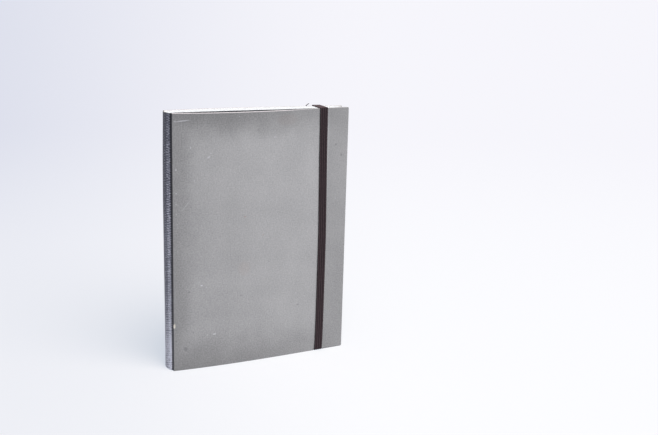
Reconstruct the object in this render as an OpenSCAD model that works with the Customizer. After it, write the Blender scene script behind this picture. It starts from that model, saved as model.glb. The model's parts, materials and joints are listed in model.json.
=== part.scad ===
/* [Notebook] */
// Height of the boards and of the pages
height = 210; // [140:1:300]
// Width of a board, from its joint to the fore-edge
board_w = 153; // [110:1:220]
// Thickness of a board
board_t = 2; // [1.5:0.1:3]
// Thickness of the stack of pages at the spine
pages_t = 14.8; // [9:0.2:30]
// Thickness of the closed book at the fore-edge
fore_t = 14; // [10:0.2:30]
// How far the boards reach past the pages at the fore-edge
overhang = 5; // [2:0.5:10]

/* [Bowed boards] */
// Bow of the front board at its head
front_bow_head = 7.4; // [0:0.2:10]
// Bow of the front board at its tail
front_bow_tail = 2.6; // [0:0.2:10]
// Bow of the back board at its head
back_bow_head = 5; // [0:0.2:10]
// Bow of the back board at its tail
back_bow_tail = 1.8; // [0:0.2:10]
// How far the bows lean towards the spine
bow_lean = 0.4; // [0:0.05:0.6]

/* [Spine] */
// Rounding of the pages' back at the head
round_head = 1.4; // [0.8:0.1:4]
// Rounding of the pages' back at the tail
round_tail = 1.8; // [0.8:0.1:4]
// Thickness of the book cloth
cloth_t = 0.45; // [0.3:0.05:0.7]
// Thickness of the lining glued between the pages and the cloth
lining_t = 0.4; // [0.2:0.05:0.8]
// Width of the groove between the spine and a board
groove_w = 1.3; // [1.2:0.1:2.5]
// How far the cloth reaches under a board
flange_w = 18; // [8:1:30]
// Thickness of the endpapers, one half pasted inside a board and one half loose on the pages
paste_t = 0.2; // [0.15:0.05:0.5]
// Length over which the pasted half comes down from the cloth to the board
paste_ramp = 2; // [1:0.5:4]

/* [Elastic band] */
// Width of the band
band_w = 7; // [4:0.5:12]
// Thickness of the band
band_t = 0.8; // [0.5:0.1:1.2]
// Distance from the fore-edge to the middle of the band
band_inset = 23.6; // [15:0.2:40]
// Number of ribs along the band
rib_n = 4; // [2:1:6]
// Depth of the furrows between the ribs
furrow = 0.2; // [0:0.05:0.25]
// Distance from the head or the tail to the slit that the band goes through
slit_inset = 14; // [8:1:30]
// Length of each glued end of the band
tab_l = 16; // [8:1:30]
// Radius inside the band's bends at a slit
bend_r = 0.3; // [0.2:0.05:0.4]

/* [Fits] */
// Gap between the two halves of an endpaper, where a closed cover lies on the pages
cover_gap = 0.3; // [0.2:0.05:1]
// Gap between the cloth of the spine and the cloth under a board
joint_gap = 0.3; // [0.2:0.05:0.6]
// Clearance all round the band
band_gap = 0.1; // [0.05:0.01:0.15]

/* [Hidden] */

// The two covers, by the way each one faces
FRONT = -1;
BACK = 1;

// Steps of the curved faces
flange_steps = 4;
bow_steps = 24;
page_steps = 10;
lip_steps = 5;
height_steps = 5;
turn_steps = 4;
rib_steps = 4;
// Odd, so that the middle of the rounded spine is a facet and not an edge
spine_steps = 15;

// What lies between the outer face of a closed board and the pages at the joint
side_t = board_t + cloth_t + 2 * paste_t + cover_gap;
// The same past the cloth, where only the endpapers are between them
leaf_d = board_t + 2 * paste_t + cover_gap;
stack_t = pages_t + 2 * side_t;
wrap_t = lining_t + cloth_t;
shoulder_x = wrap_t - groove_w;
pages_x = board_w - overhang;
band_x = board_w - band_inset;
// A cut reaches this far past the face it opens
past = 1;

// Dent that the band has pressed into the tail, so that the book still stands flat
dent_h = band_t + 2 * band_gap;
dent_w = band_w + 2 * band_gap;

// Heights at which every outline is drawn
levels = [for (k = [0:height_steps]) height * k / height_steps];
// Places across a board: over the cloth, down its edge and on to the fore-edge
cloth_xs = [for (k = [0:flange_steps]) flange_w * k / flange_steps];
ramp_x = flange_w + paste_ramp;
bow_xs = [for (k = [0:bow_steps]) ramp_x + (board_w - ramp_x) * k / bow_steps];
board_xs = concat(cloth_xs, bow_xs);
// Places across the pages: over the cloth, down its edge, to the band and on to the fore-edge
page_xs = concat(
    cloth_xs,
    [for (k = [0:page_steps - 1]) between(ramp_x, band_x, k / page_steps)],
    [for (k = [0:lip_steps]) between(band_x, pages_x, k / lip_steps)]
);
// The same from the fore-edge to the joint
page_back_xs = [for (k = [len(page_xs) - 1:-1:0]) page_xs[k]];

function between(a, b, t) = a + (b - a) * t;
function at_height(tail, head, z) = between(tail, head, z / height);

// Outward bow across a board: nothing at the joint and the fore-edge, most left of the middle
function bow_shape(u) = 4 * u * (1 - u) * (1 + bow_lean * (1 - 2 * u));
function front_face(x, z) =
    -at_height(front_bow_tail, front_bow_head, z) * bow_shape(x / board_w);
function back_face(x, z) =
    between(stack_t, fore_t, x / board_w)
    + at_height(back_bow_tail, back_bow_head, z) * bow_shape(x / board_w);

// A point of a cover, at a depth under its outer face
function cover_y(side, x, z, depth) =
    side == FRONT ? front_face(x, z) + depth : back_face(x, z) - depth;

// The pages have swollen out to the back cover. In front they run straight to the band, which
// presses the bowed cover on them, and follow the cover from there to the fore-edge.
function page_y(side, x, z) =
    side == BACK || x > band_x
        ? cover_y(side, x, z, x > flange_w ? leaf_d : side_t)
        : between(side_t, cover_y(FRONT, band_x, z, leaf_d), x / band_x);

// Rounded back of the pages: an arc through both shoulders
function rounding(z) = at_height(round_tail, round_head, z);
function arc_r(z) = (pow(pages_t / 2, 2) + pow(rounding(z), 2)) / (2 * rounding(z));
function arc_half(z) = asin(pages_t / 2 / arc_r(z));
function arc_x(z) = shoulder_x - rounding(z) + arc_r(z);
// A point over the rounded back, at an angle from its middle and a height above the pages
function spine_point(angle, z, above) = [
    arc_x(z) - (arc_r(z) + above) * cos(angle),
    stack_t / 2 + (arc_r(z) + above) * sin(angle)
];
function spine_angle(k, z) = arc_half(z) * (2 * k / spine_steps - 1);

// The book's box, whose bottom middle is the origin
spine_reach = max([for (z = levels) (arc_r(z) + wrap_t) * cos(arc_half(z) / spine_steps) - arc_x(z)]);
front_reach = max([for (z = levels, x = board_xs) -front_face(x, z)]);
back_reach = max([for (z = levels, x = board_xs) back_face(x, z)]);
centre_x = (board_w - spine_reach) / 2;
centre_y = (back_reach - front_reach) / 2;

// Puts a piece in the part's frame, from a frame at the foot of the front board's joint edge
module stand() {
    translate([-centre_x, -centre_y, 0]) children();
}

// Closed solid between two faces, each a grid of points with one row for each level
module skin(near, far) {
    rows = len(near);
    n = len(near[0]);
    half = rows * n;
    points = concat([for (row = near, p = row) p], [for (row = far, p = row) p]);
    function at(r, c) = r * n + c;
    faces = concat(
        [for (r = [0:rows - 2], c = [0:n - 2]) each [
            [at(r, c), at(r + 1, c), at(r + 1, c + 1)],
            [at(r, c), at(r + 1, c + 1), at(r, c + 1)],
            [half + at(r, c), half + at(r + 1, c + 1), half + at(r + 1, c)],
            [half + at(r, c), half + at(r, c + 1), half + at(r + 1, c + 1)]
        ]],
        [for (c = [0:n - 2], r = [0, rows - 1]) let (
            a = at(r, c), b = at(r, c + 1), up = r > 0
        ) each [
            up ? [a, half + a, b] : [a, b, half + a],
            up ? [b, half + a, half + b] : [b, half + b, half + a]
        ]],
        [for (r = [0:rows - 2], c = [0, n - 1]) let (
            a = at(r, c), b = at(r + 1, c), end = c > 0
        ) each [
            end ? [a, b, half + a] : [a, half + a, b],
            end ? [b, half + b, half + a] : [b, half + a, half + b]
        ]]
    );
    polyhedron(points, faces);
}

// Closed solid through outlines, one for each level, that run clockwise seen from above. Its ends
// are strips between points that face each other, whose numbers in an outline add up to fold.
module loft(outlines, fold) {
    n = len(outlines[0]);
    top = n * (len(outlines) - 1);
    points = [for (outline = outlines, p = outline) p];
    middle = (fold + 1) / 2;
    faces = concat(
        [for (low = [0:n:top - n], c = [0:n - 1]) let (
            a = low + c,
            b = low + (c + 1) % n
        ) each [[a, b, b + n], [a, b + n, a + n]]],
        [for (c = [middle:middle + n / 2 - 2]) let (
            d = c + 1,
            c_mate = (fold + n - c) % n,
            d_mate = (fold + n - d) % n
        ) each [
            [top + c, top + d, top + d_mate], [top + c, top + d_mate, top + c_mate],
            [c, d_mate, d], [c, c_mate, d_mate]
        ]]
    );
    polyhedron(points, faces);
}

// Sheet on a cover between two depths, which may change across it
module cover_sheet(side, xs, zs, depth, thick) {
    function face(extra) = [for (z = zs) [
        for (k = [0:len(xs) - 1]) [xs[k], cover_y(side, xs[k], z, depth[k] + extra), z]
    ]];
    outer = face(0);
    inner = face(thick);
    if (side == FRONT) skin(outer, inner);
    else skin(inner, outer);
}

module board(side) {
    cover_sheet(side, board_xs, levels, [for (x = board_xs) 0], board_t);
}

module hinge_cloth(side) {
    cover_sheet(side, cloth_xs, levels, [for (x = cloth_xs) board_t], cloth_t);
}

// The paper covers the cloth's flange, comes down past its edge and goes on over the board
module pastedown(side) {
    depth = [for (x = board_xs) board_t + (x > flange_w ? 0 : cloth_t)];
    cover_sheet(side, board_xs, levels, depth, paste_t);
}

// Room for the band where it passes under the book
module band_dent() {
    translate([band_x - dent_w / 2, -front_reach - past, -past])
        cube([dent_w, front_reach + back_reach + 2 * past, dent_h + past]);
}

// Slit through the back board, cut across at a height, with room for the band inside it
module band_slit(z) {
    translate([band_x - dent_w / 2, 0, z - dent_h / 2])
        cube([dent_w, back_reach + past, dent_h]);
}

// Recess for a glued end of the band, in the inner face of the back board
module tab_recess(z0, z1) {
    xs = [band_x - dent_w / 2, band_x + dent_w / 2];
    depth = board_t - band_t - band_gap;
    cover_sheet(BACK, xs, [z0, z1], [depth, depth], band_t + band_gap + past);
}

// Radius of the middle of the band round the boards' edges and at the slits
corner_r = band_gap + band_t / 2;
slit_r = bend_r + band_t / 2;
// Middle of the band outside the back board and in its recess, from the board's outer face
run_off = corner_r;
tab_off = band_t / 2 - board_t;
// Heights of the bends outside the slits, and of the slits themselves
bend_head = height - slit_inset;
bend_tail = slit_inset;
slit_head = bend_head - slit_r;
slit_tail = bend_tail + slit_r;
tab_head = slit_head - slit_r;
tab_tail = slit_tail + slit_r;

// A bend of the band about a point, with the turn of the band's outer side
function bend(share, off, z, r, from, to, facing) = [
    for (k = [0:turn_steps]) let (a = between(from, to, k / turn_steps))
        [share, off + r * cos(a), z + r * sin(a), a + facing]
];

// Middle line of the band: [share of the way from the front to the back, offset outwards from
// there, height, angle of the band's outer side]. It starts and ends under the back pastedown.
band_path = concat(
    [[1, tab_off, tab_head - tab_l, 360]],
    bend(1, tab_off + slit_r, tab_head, slit_r, 180, 90, 180),
    bend(1, run_off - slit_r, bend_head, slit_r, 270, 360, 0),
    bend(1, 0, height, corner_r, 0, 90, 0),
    bend(0, 0, height, corner_r, 90, 180, 0),
    bend(0, 0, dent_h, corner_r, 180, 270, 0),
    bend(1, 0, dent_h, corner_r, 270, 360, 0),
    bend(1, run_off - slit_r, bend_tail, slit_r, 0, 90, 0),
    bend(1, tab_off + slit_r, tab_tail, slit_r, 270, 180, 180),
    [[1, tab_off, tab_tail + tab_l, 360]]
);

// A point of the band: across it, and outwards from its middle line
function band_point(p, across, out) =
    let (
        x = band_x + across,
        z = p[2] + out * sin(p[3]),
        y = between(front_face(x, z), back_face(x, z), p[0])
    )
    [x, y + p[1] + out * cos(p[3]), z];

module text_block() {
    color("ivory") stand() difference() {
        loft([for (z = levels) concat(
            [for (k = [0:spine_steps])
                let (p = spine_point(spine_angle(k, z), z, 0)) [p[0], p[1], z]],
            [for (x = page_xs) [x, page_y(BACK, x, z), z]],
            [for (x = page_back_xs) [x, page_y(FRONT, x, z), z]]
        )], spine_steps);
        band_dent();
    }
}

// Loose half of an endpaper, on the pages. Its columns run the way that their outline does.
module flyleaf(side) {
    function face(over) = [for (z = levels) [
        for (x = side == FRONT ? page_back_xs : page_xs) [x, page_y(side, x, z) + side * over, z]
    ]];
    color("dimgray") stand() difference() {
        skin(face(0), face(paste_t));
        band_dent();
    }
}

module front_flyleaf() {
    flyleaf(FRONT);
}

module back_flyleaf() {
    flyleaf(BACK);
}

module spine_lining() {
    function face(above) = [for (z = levels) [
        for (k = [0:spine_steps]) let (p = spine_point(spine_angle(k, z), z, above)) [p[0], p[1], z]
    ]];
    color("wheat") stand() skin(face(0), face(lining_t));
}

// The cloth goes over the lining, turns in at both shoulders and ends in the grooves
module spine_cloth() {
    function face(above, inset) = [for (z = levels) concat(
        [[-joint_gap, inset, z]],
        [for (k = [0:spine_steps]) let (p = spine_point(spine_angle(k, z), z, above)) [p[0], p[1], z]],
        [[-joint_gap, stack_t - inset, z]]
    )];
    color("darkslategray") stand() skin(face(lining_t, side_t), face(wrap_t, side_t - cloth_t));
}

module front_board() {
    color("darkgray") stand() difference() {
        board(FRONT);
        band_dent();
    }
}

module front_hinge_cloth() {
    color("darkslategray") stand() hinge_cloth(FRONT);
}

module front_pastedown() {
    color("dimgray") stand() difference() {
        pastedown(FRONT);
        band_dent();
    }
}

module back_board() {
    color("darkgray") stand() difference() {
        board(BACK);
        band_dent();
        band_slit(slit_head);
        band_slit(slit_tail);
        tab_recess(tab_head - tab_l - band_gap, slit_head);
        tab_recess(slit_tail, tab_tail + tab_l + band_gap);
    }
}

module back_hinge_cloth() {
    color("darkslategray") stand() hinge_cloth(BACK);
}

module back_pastedown() {
    color("dimgray") stand() difference() {
        pastedown(BACK);
        band_dent();
    }
}

// Ribbed elastic: glued in the back board, through its slits and once round the closed book
module elastic_band() {
    n = rib_n * rib_steps;
    across = [for (k = [0:n]) band_w * (k / n - 1 / 2)];
    rib = [for (k = [0:n]) band_t / 2 - furrow * (1 + cos(360 * k / rib_steps)) / 2];
    color("saddlebrown") stand() skin(
        [for (p = band_path) [for (k = [0:n]) band_point(p, across[k], -band_t / 2)]],
        [for (p = band_path) [for (k = [0:n]) band_point(p, across[k], rib[k])]]
    );
}

text_block();
spine_lining();
spine_cloth();
front_board();
front_hinge_cloth();
front_pastedown();
back_board();
back_hinge_cloth();
back_pastedown();
elastic_band();
front_flyleaf();
back_flyleaf();
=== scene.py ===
"""A hard-cover notebook with bowed boards, a cloth spine and an elastic band, dressed for view.

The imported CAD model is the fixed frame. Sizes are in millimetres in the book's own space, whose
origin is at the foot of the front board's joint edge: x runs to the fore-edge, y to the back cover
and z to the head. Book.place turns them into metres in the part's frame.
"""

import json
import logging
import math
from dataclasses import dataclass
from enum import Enum

import bpy
import numpy as np
from bpy.types import Material, Mesh, Node, NodeSocket, NodeTree, Object
from mathutils import Matrix, Vector

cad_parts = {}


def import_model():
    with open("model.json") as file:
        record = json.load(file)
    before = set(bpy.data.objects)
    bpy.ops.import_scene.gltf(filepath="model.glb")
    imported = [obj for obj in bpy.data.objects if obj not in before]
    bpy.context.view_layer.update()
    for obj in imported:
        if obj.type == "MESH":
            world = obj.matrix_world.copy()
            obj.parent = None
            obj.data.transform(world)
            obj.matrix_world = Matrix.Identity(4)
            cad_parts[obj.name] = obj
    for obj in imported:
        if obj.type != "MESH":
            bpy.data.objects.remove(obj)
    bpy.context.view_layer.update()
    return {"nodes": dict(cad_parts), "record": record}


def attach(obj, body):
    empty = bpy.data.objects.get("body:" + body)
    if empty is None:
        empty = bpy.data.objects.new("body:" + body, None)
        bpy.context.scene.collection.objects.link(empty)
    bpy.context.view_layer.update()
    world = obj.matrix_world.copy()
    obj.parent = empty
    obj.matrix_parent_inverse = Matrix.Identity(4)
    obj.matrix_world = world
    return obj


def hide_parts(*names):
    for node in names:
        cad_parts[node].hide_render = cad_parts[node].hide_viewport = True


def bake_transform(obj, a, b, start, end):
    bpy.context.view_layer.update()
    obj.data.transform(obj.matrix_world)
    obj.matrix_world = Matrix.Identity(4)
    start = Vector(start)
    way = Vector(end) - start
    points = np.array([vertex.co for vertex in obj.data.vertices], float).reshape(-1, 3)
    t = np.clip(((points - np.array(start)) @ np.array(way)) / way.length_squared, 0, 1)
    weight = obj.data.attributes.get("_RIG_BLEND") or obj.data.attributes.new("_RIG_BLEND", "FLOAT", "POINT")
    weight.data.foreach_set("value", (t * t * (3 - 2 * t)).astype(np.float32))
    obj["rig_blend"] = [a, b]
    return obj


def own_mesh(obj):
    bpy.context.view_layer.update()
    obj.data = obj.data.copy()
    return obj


LOG = logging.getLogger("notebook")
MM = 0.001
Array = np.ndarray


class Side(Enum):
    """The two covers, by the way each one faces."""

    FRONT = -1
    BACK = 1

    @property
    def word(self) -> str:
        """The side's name as the pieces and bodies use it."""
        return self.name.lower()


class Stain(Enum):
    """What a mark on a cover is."""

    PALE = "#CFCED3"
    DARK = "#5E5D62"
    RUST = "#A08274"
    CORE = "#D8D2C4"


# Shared helpers


def linear(colour: str) -> tuple[float, ...]:
    """Turns an sRGB hex colour into linear light.

    Args:
        colour: The colour, as "#RRGGBB".

    Returns:
        Linear red, green and blue, and an alpha of 1.
    """
    parts = [int(colour[k : k + 2], 16) / 255 for k in (1, 3, 5)]
    # The straight foot of the sRGB curve, and the power above it
    return *(p / 12.92 if p <= 0.04045 else ((p + 0.055) / 1.055) ** 2.4 for p in parts), 1.0


def feed(tree: NodeTree, node: Node, inputs: dict) -> None:
    """Sets a node's inputs, or links them.

    Args:
        tree: The node's tree.
        node: The node.
        inputs: By the input's name or number: a value, an output socket, or a node whose first
            output is meant.
    """
    for key, value in inputs.items():
        if isinstance(value, Node):
            value = value.outputs[0]
        if isinstance(value, NodeSocket):
            tree.links.new(value, node.inputs[key])
        else:
            node.inputs[key].default_value = value


def add(tree: NodeTree, kind: str, inputs: dict | None = None, **settings) -> Node:
    """Adds a node with its settings and links.

    Args:
        tree: The tree that the node goes into.
        kind: The node's type name, without the ShaderNode that most of them start with.
        inputs: What goes into its inputs, as feed takes it.
        **settings: The node's own properties.

    Returns:
        The new node.
    """
    node = tree.nodes.new(kind if "Node" in kind else "ShaderNode" + kind)
    for name, value in settings.items():
        setattr(node, name, value)
    feed(tree, node, inputs or {})
    return node


def smooth(low: float, high: float, value: Array) -> Array:
    """Rises smoothly from 0 at low to 1 at high."""
    t = np.clip((value - low) / (high - low), 0, 1)
    return t * t * (3 - 2 * t)


def cuts(length: float, radius: float, step: float, extra: tuple = ()) -> Array:
    """Places at which a slab is cut.

    Args:
        length: The slab's length.
        radius: Radius of its soft edges, where the cuts lie close together.
        step: Rough distance between the other cuts.
        extra: More places.

    Returns:
        The places in rising order, from 0 to length.
    """
    soft = radius * np.array([0, 0.42, 0.73, 1])
    count = max(1, round((length - 2 * radius) / step))
    even = np.linspace(radius, length - radius, count + 1)
    return np.unique(np.round(np.concatenate([soft, even, length - soft, extra]), 4))


def slab(xs: Array, ds: Array, zs: Array, radius: float) -> tuple[Array, Array]:
    """Surface of a flat slab with soft edges.

    Args:
        xs: Cuts along it.
        ds: Cuts through its thickness.
        zs: Cuts up it.
        radius: Radius of its edges.

    Returns:
        Points (x, depth, z) and faces of four corners that point outwards.
    """
    shape = (len(xs), len(ds), len(zs))
    index = np.arange(np.prod(shape)).reshape(shape)
    sides = (
        index[-1], index[0].T, index[:, -1].T, index[:, 0], index[:, :, -1], index[:, :, 0].T,
    )
    faces = np.concatenate([
        np.stack([grid[:-1, :-1], grid[1:, :-1], grid[1:, 1:], grid[:-1, 1:]], -1).reshape(-1, 4)
        for grid in sides
    ])
    used, faces = np.unique(faces, return_inverse=True)
    points = np.stack(np.meshgrid(xs, ds, zs, indexing="ij"), -1).reshape(-1, 3)[used]
    low = np.array([xs[0], ds[0], zs[0]]) + radius
    high = np.array([xs[-1], ds[-1], zs[-1]]) - radius
    inner = np.clip(points, low, np.maximum(low, high))
    away = points - inner
    length = np.linalg.norm(away, axis=1, keepdims=True)
    points = np.where(length > 0, inner + away * radius / np.maximum(length, 1e-9), points)
    return points, faces.reshape(-1, 4)


def tube(rows: int, ring: int, flip: bool = False) -> list:
    """Faces of a closed tube of rings.

    Args:
        rows: Number of rings.
        ring: Number of points in each.
        flip: Whether the faces are turned round.

    Returns:
        The point numbers of the walls and of the two ends.
    """
    index = np.arange(rows * ring).reshape(rows, ring)
    beside = np.roll(index, -1, axis=1)
    walls = np.stack([index[:-1], index[1:], beside[1:], beside[:-1]], -1).reshape(-1, 4)
    faces = [*walls.tolist(), index[0].tolist(), index[-1][::-1].tolist()]
    return [face[::-1] for face in faces] if flip else faces


def store(mesh: Mesh, **attributes: Array) -> None:
    """Stores a number or a vector for each point of a mesh.

    Args:
        mesh: The mesh.
        **attributes: The numbers or vectors, by name.
    """
    for key, values in attributes.items():
        vector = values.ndim == 2
        made = mesh.attributes.new(key, "FLOAT_VECTOR" if vector else "FLOAT", "POINT")
        made.data.foreach_set("vector" if vector else "value", values.astype(np.float32).ravel())


def new_piece(name: str, points: Array, faces: Array | list, **attributes: Array) -> Object:
    """Makes a smooth mesh object whose place is in its mesh.

    Args:
        name: The object's name.
        points: Its points in metres, in the part's frame.
        faces: Point numbers of each face.
        **attributes: A number or a vector for each point, by name.

    Returns:
        The object, linked to the scene.
    """
    mesh = bpy.data.meshes.new(name)
    mesh.from_pydata(points.tolist(), [], faces if isinstance(faces, list) else faces.tolist())
    store(mesh, **attributes)
    mesh.shade_smooth()
    mesh.update()
    piece = bpy.data.objects.new(name, mesh)
    bpy.context.scene.collection.objects.link(piece)
    return piece


def bake_modifiers(piece: Object) -> None:
    """Turns what a piece's modifiers make of it into its own plain mesh.

    Args:
        piece: The piece.
    """
    piece_now = piece.evaluated_get(bpy.context.evaluated_depsgraph_get())
    mesh = bpy.data.meshes.new_from_object(piece_now)
    piece.modifiers.clear()
    before, piece.data = piece.data, mesh
    mesh.name = piece.name
    bpy.data.meshes.remove(before)


def grow(piece: Object, tree: NodeTree, values: dict, spent: tuple, crease: float) -> None:
    """Runs a Geometry Nodes tree on a piece and keeps its result as a plain mesh.

    Args:
        piece: The piece, whose mesh is the tree's first input.
        tree: The tree.
        values: The tree's other inputs, by name.
        spent: Names of attributes that nothing reads afterwards.
        crease: Angle in degrees past which an edge is sharp.
    """
    modifier = piece.modifiers.new(tree.name, "NODES")
    modifier.node_group = tree
    for item in tree.interface.items_tree:
        if item.item_type == "SOCKET" and item.in_out == "INPUT" and item.name in values:
            modifier[item.identifier] = values[item.name]
    bake_modifiers(piece)
    for key in spent:
        piece.data.attributes.remove(piece.data.attributes[key])
    piece.data.set_sharp_from_angle(angle=math.radians(crease))


def new_tree(name: str, inputs: dict[str, str]) -> tuple[NodeTree, Node, Node]:
    """Starts a Geometry Nodes tree.

    Args:
        name: The tree's name.
        inputs: The type of each input after the geometry, by name, without its NodeSocket.

    Returns:
        The tree, its input node and its output node.
    """
    tree = bpy.data.node_groups.new(name, "GeometryNodeTree")
    sockets = [("Geometry", "INPUT", "Geometry")]
    sockets += [(key, "INPUT", kind) for key, kind in inputs.items()]
    for key, way, kind in (*sockets, ("Geometry", "OUTPUT", "Geometry")):
        tree.interface.new_socket(key, in_out=way, socket_type="NodeSocket" + kind)
    return tree, add(tree, "NodeGroupInput"), add(tree, "NodeGroupOutput")


def new_material(name: str) -> tuple[Material, NodeTree, Node]:
    """Starts a material.

    Args:
        name: The material's name.

    Returns:
        The material, its node tree and its Principled shader.
    """
    material = bpy.data.materials.new(name)
    material.use_nodes = True
    return material, material.node_tree, material.node_tree.nodes["Principled BSDF"]


# The book's sizes


@dataclass(frozen=True)
class Book:
    """Sizes of the notebook in millimetres, the same as in the part's source."""

    origin_x: float
    origin_y: float
    height: float = 210.0
    board_w: float = 153.0
    board_t: float = 2.0
    pages_t: float = 14.8
    fore_t: float = 14.0
    overhang: float = 5.0
    # How far the covers bow and the pages' back is rounded, at the tail and at the head
    front_bow: tuple = (2.6, 7.4)
    back_bow: tuple = (1.8, 5.0)
    rounding: tuple = (1.8, 1.4)
    bow_lean: float = 0.4
    cloth_t: float = 0.45
    lining_t: float = 0.4
    groove_w: float = 1.3
    flange_w: float = 18.0
    paste_t: float = 0.2
    paste_ramp: float = 2.0
    band_w: float = 7.0
    band_t: float = 0.8
    band_inset: float = 23.6
    band_gap: float = 0.1
    cover_gap: float = 0.3
    # The band's dent in the tail: the width of its walls, and the height where it ends
    dent_wall: float = 0.7
    dent_reach: float = 12.0
    # How far the first leaves have sunk at the head, and where that starts and ends
    sunk: float = 1.7
    sunk_from: tuple = (0.0, 5.0)
    sunk_to: tuple = (45.0, 95.0)
    racked: float = 0.45

    @classmethod
    def from_frame(cls, record: dict) -> "Book":
        """Reads where the book's own origin lies from the front cover's hinge.

        Args:
            record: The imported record.

        Returns:
            The book.
        """
        joints = {joint["name"]: joint for joint in record["behaviour"]["joints"]}
        hinge_x, hinge_y, _ = joints["front_cover_hinge"]["pos_m"]
        return cls(hinge_x / MM + cls.groove_w / 2, hinge_y / MM - cls.board_t / 2)

    @property
    def side_t(self) -> float:
        """From the outer face of a closed board to the pages, at the joint."""
        return self.leaf_d + self.cloth_t

    @property
    def leaf_d(self) -> float:
        """The same past the cloth, where only the endpapers are between them."""
        return self.board_t + 2 * self.paste_t + self.cover_gap

    @property
    def stack_t(self) -> float:
        """Thickness of the closed book at the joint."""
        return self.pages_t + 2 * self.side_t

    @property
    def wrap_t(self) -> float:
        """Lining and cloth over the rounded back."""
        return self.lining_t + self.cloth_t

    @property
    def shoulder_x(self) -> float:
        """Where the pages' flat sides start."""
        return self.wrap_t - self.groove_w

    @property
    def pages_x(self) -> float:
        """Fore-edge of the pages."""
        return self.board_w - self.overhang

    @property
    def band_x(self) -> float:
        """Middle of the band."""
        return self.board_w - self.band_inset

    @property
    def dent_h(self) -> float:
        """Height of the dent that the band has pressed into the tail."""
        return self.band_t + 2 * self.band_gap

    @property
    def dent_half(self) -> float:
        """Half the width of that dent."""
        return self.band_w / 2 + self.band_gap

    def at_height(self, ends: tuple, z: Array) -> Array:
        """A size that changes evenly from the tail to the head."""
        return ends[0] + (ends[1] - ends[0]) * z / self.height

    def bow(self, x: Array) -> Array:
        """Share of the full bow at a place across a board."""
        u = x / self.board_w
        return 4 * u * (1 - u) * (1 + self.bow_lean * (1 - 2 * u))

    def cover_y(self, side: Side, x: Array, z: Array, depth: Array | float) -> Array:
        """Height of a point of a cover above the book's origin plane.

        Args:
            side: Which cover.
            x: Distance from the joint.
            z: Height above the tail.
            depth: Depth under the cover's outer face.

        Returns:
            The point's y.
        """
        if side is Side.FRONT:
            return depth - self.at_height(self.front_bow, z) * self.bow(x)
        plain = self.stack_t + (self.fore_t - self.stack_t) * x / self.board_w
        return plain + self.at_height(self.back_bow, z) * self.bow(x) - depth

    def page_y(self, side: Side, x: Array, z: Array) -> Array:
        """Outer face of the pages: along the back cover, but in front straight to the band first.

        Args:
            side: Which face.
            x: Distance from the joint.
            z: Height above the tail.

        Returns:
            The face's y.
        """
        x = np.maximum(x, 0)
        over_cloth = 1 - np.clip((x - self.flange_w) / self.paste_ramp, 0, 1)
        along = self.cover_y(side, x, z, self.leaf_d + self.cloth_t * over_cloth)
        if side is Side.BACK:
            return along
        at_band = self.cover_y(side, np.full_like(x, self.band_x), z, self.leaf_d)
        straight = self.side_t + (at_band - self.side_t) * x / self.band_x
        sunk = self.sunk * smooth(*self.sunk_from, x) * (1 - smooth(*self.sunk_to, x))
        return np.where(x < self.band_x, straight + sunk * z / self.height, along)

    def spine_arc(self, z: float, above: float, count: int) -> Array:
        """Points (x, y) over the rounded back.

        Args:
            z: Height above the tail.
            above: Height above the pages' back.
            count: Number of points.

        Returns:
            The points, from the front shoulder to the back one.
        """
        rise = self.at_height(self.rounding, z)
        radius = ((self.pages_t / 2) ** 2 + rise**2) / (2 * rise)
        half = math.asin(self.pages_t / 2 / radius)
        turn = np.linspace(-half, half, count)
        x = self.shoulder_x - rise + radius - (radius + above) * np.cos(turn)
        return np.stack([x, self.stack_t / 2 + (radius + above) * np.sin(turn)], -1)

    def dent_cuts(self) -> tuple:
        """Cuts that follow the walls of the dent."""
        walls = [self.dent_half + share * self.dent_wall for share in (0, 0.5, 1)]
        return tuple(self.band_x + way * wall for way in (-1, 1) for wall in walls)

    def press_tail(self, flat: Array) -> Array:
        """Presses the dent of the band into the tail of a piece.

        Args:
            flat: Points (x, depth, z).

        Returns:
            The same points, lifted where the band passes under them.
        """
        beside = np.abs(flat[:, 0] - self.band_x)
        lift = self.dent_h * (1 - smooth(self.dent_half, self.dent_half + self.dent_wall, beside))
        pressed = flat.copy()
        pressed[:, 2] += lift * np.clip(1 - flat[:, 2] / self.dent_reach, 0, 1)
        return pressed

    def stretch(self, y: Array) -> Array:
        """How much taller the book stands at a depth: it is racked, and its front is higher."""
        return 1 + self.racked / self.height * np.clip(1 - y / self.stack_t, 0, 1)

    def place(self, points: Array) -> Array:
        """Turns points of a piece in the book's space into metres in the part's frame.

        Args:
            points: The points.

        Returns:
            The same points in the part's frame.
        """
        taller = np.array(points, dtype=float)
        taller[:, 2] *= self.stretch(taller[:, 1])
        return self.place_plain(taller)

    def place_plain(self, points: Array) -> Array:
        """The same for what isn't a piece of the book."""
        return (points + np.array([self.origin_x, self.origin_y, 0])) * MM


# Finishes


@dataclass(frozen=True)
class Mark:
    """A scratch, speck or stain on a cover, in millimetres from the foot of its joint edge."""

    x: float
    z: float
    long: float
    wide: float
    stain: Stain = Stain.PALE
    strength: float = 0.6
    turn: float = 0.0


@dataclass(frozen=True)
class EdgeDarkening:
    """Darkening along one edge of a cover, used for handling dirt and for painted shade.

    It leaves the share near of the light at the joint and far at the fore-edge, and reaches in by
    reach_mm from edge_mm on the axis 0, across, or 2, up.
    """

    near: float
    far: float
    reach_mm: float
    axis: int = 0
    edge_mm: float = 0.0


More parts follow.
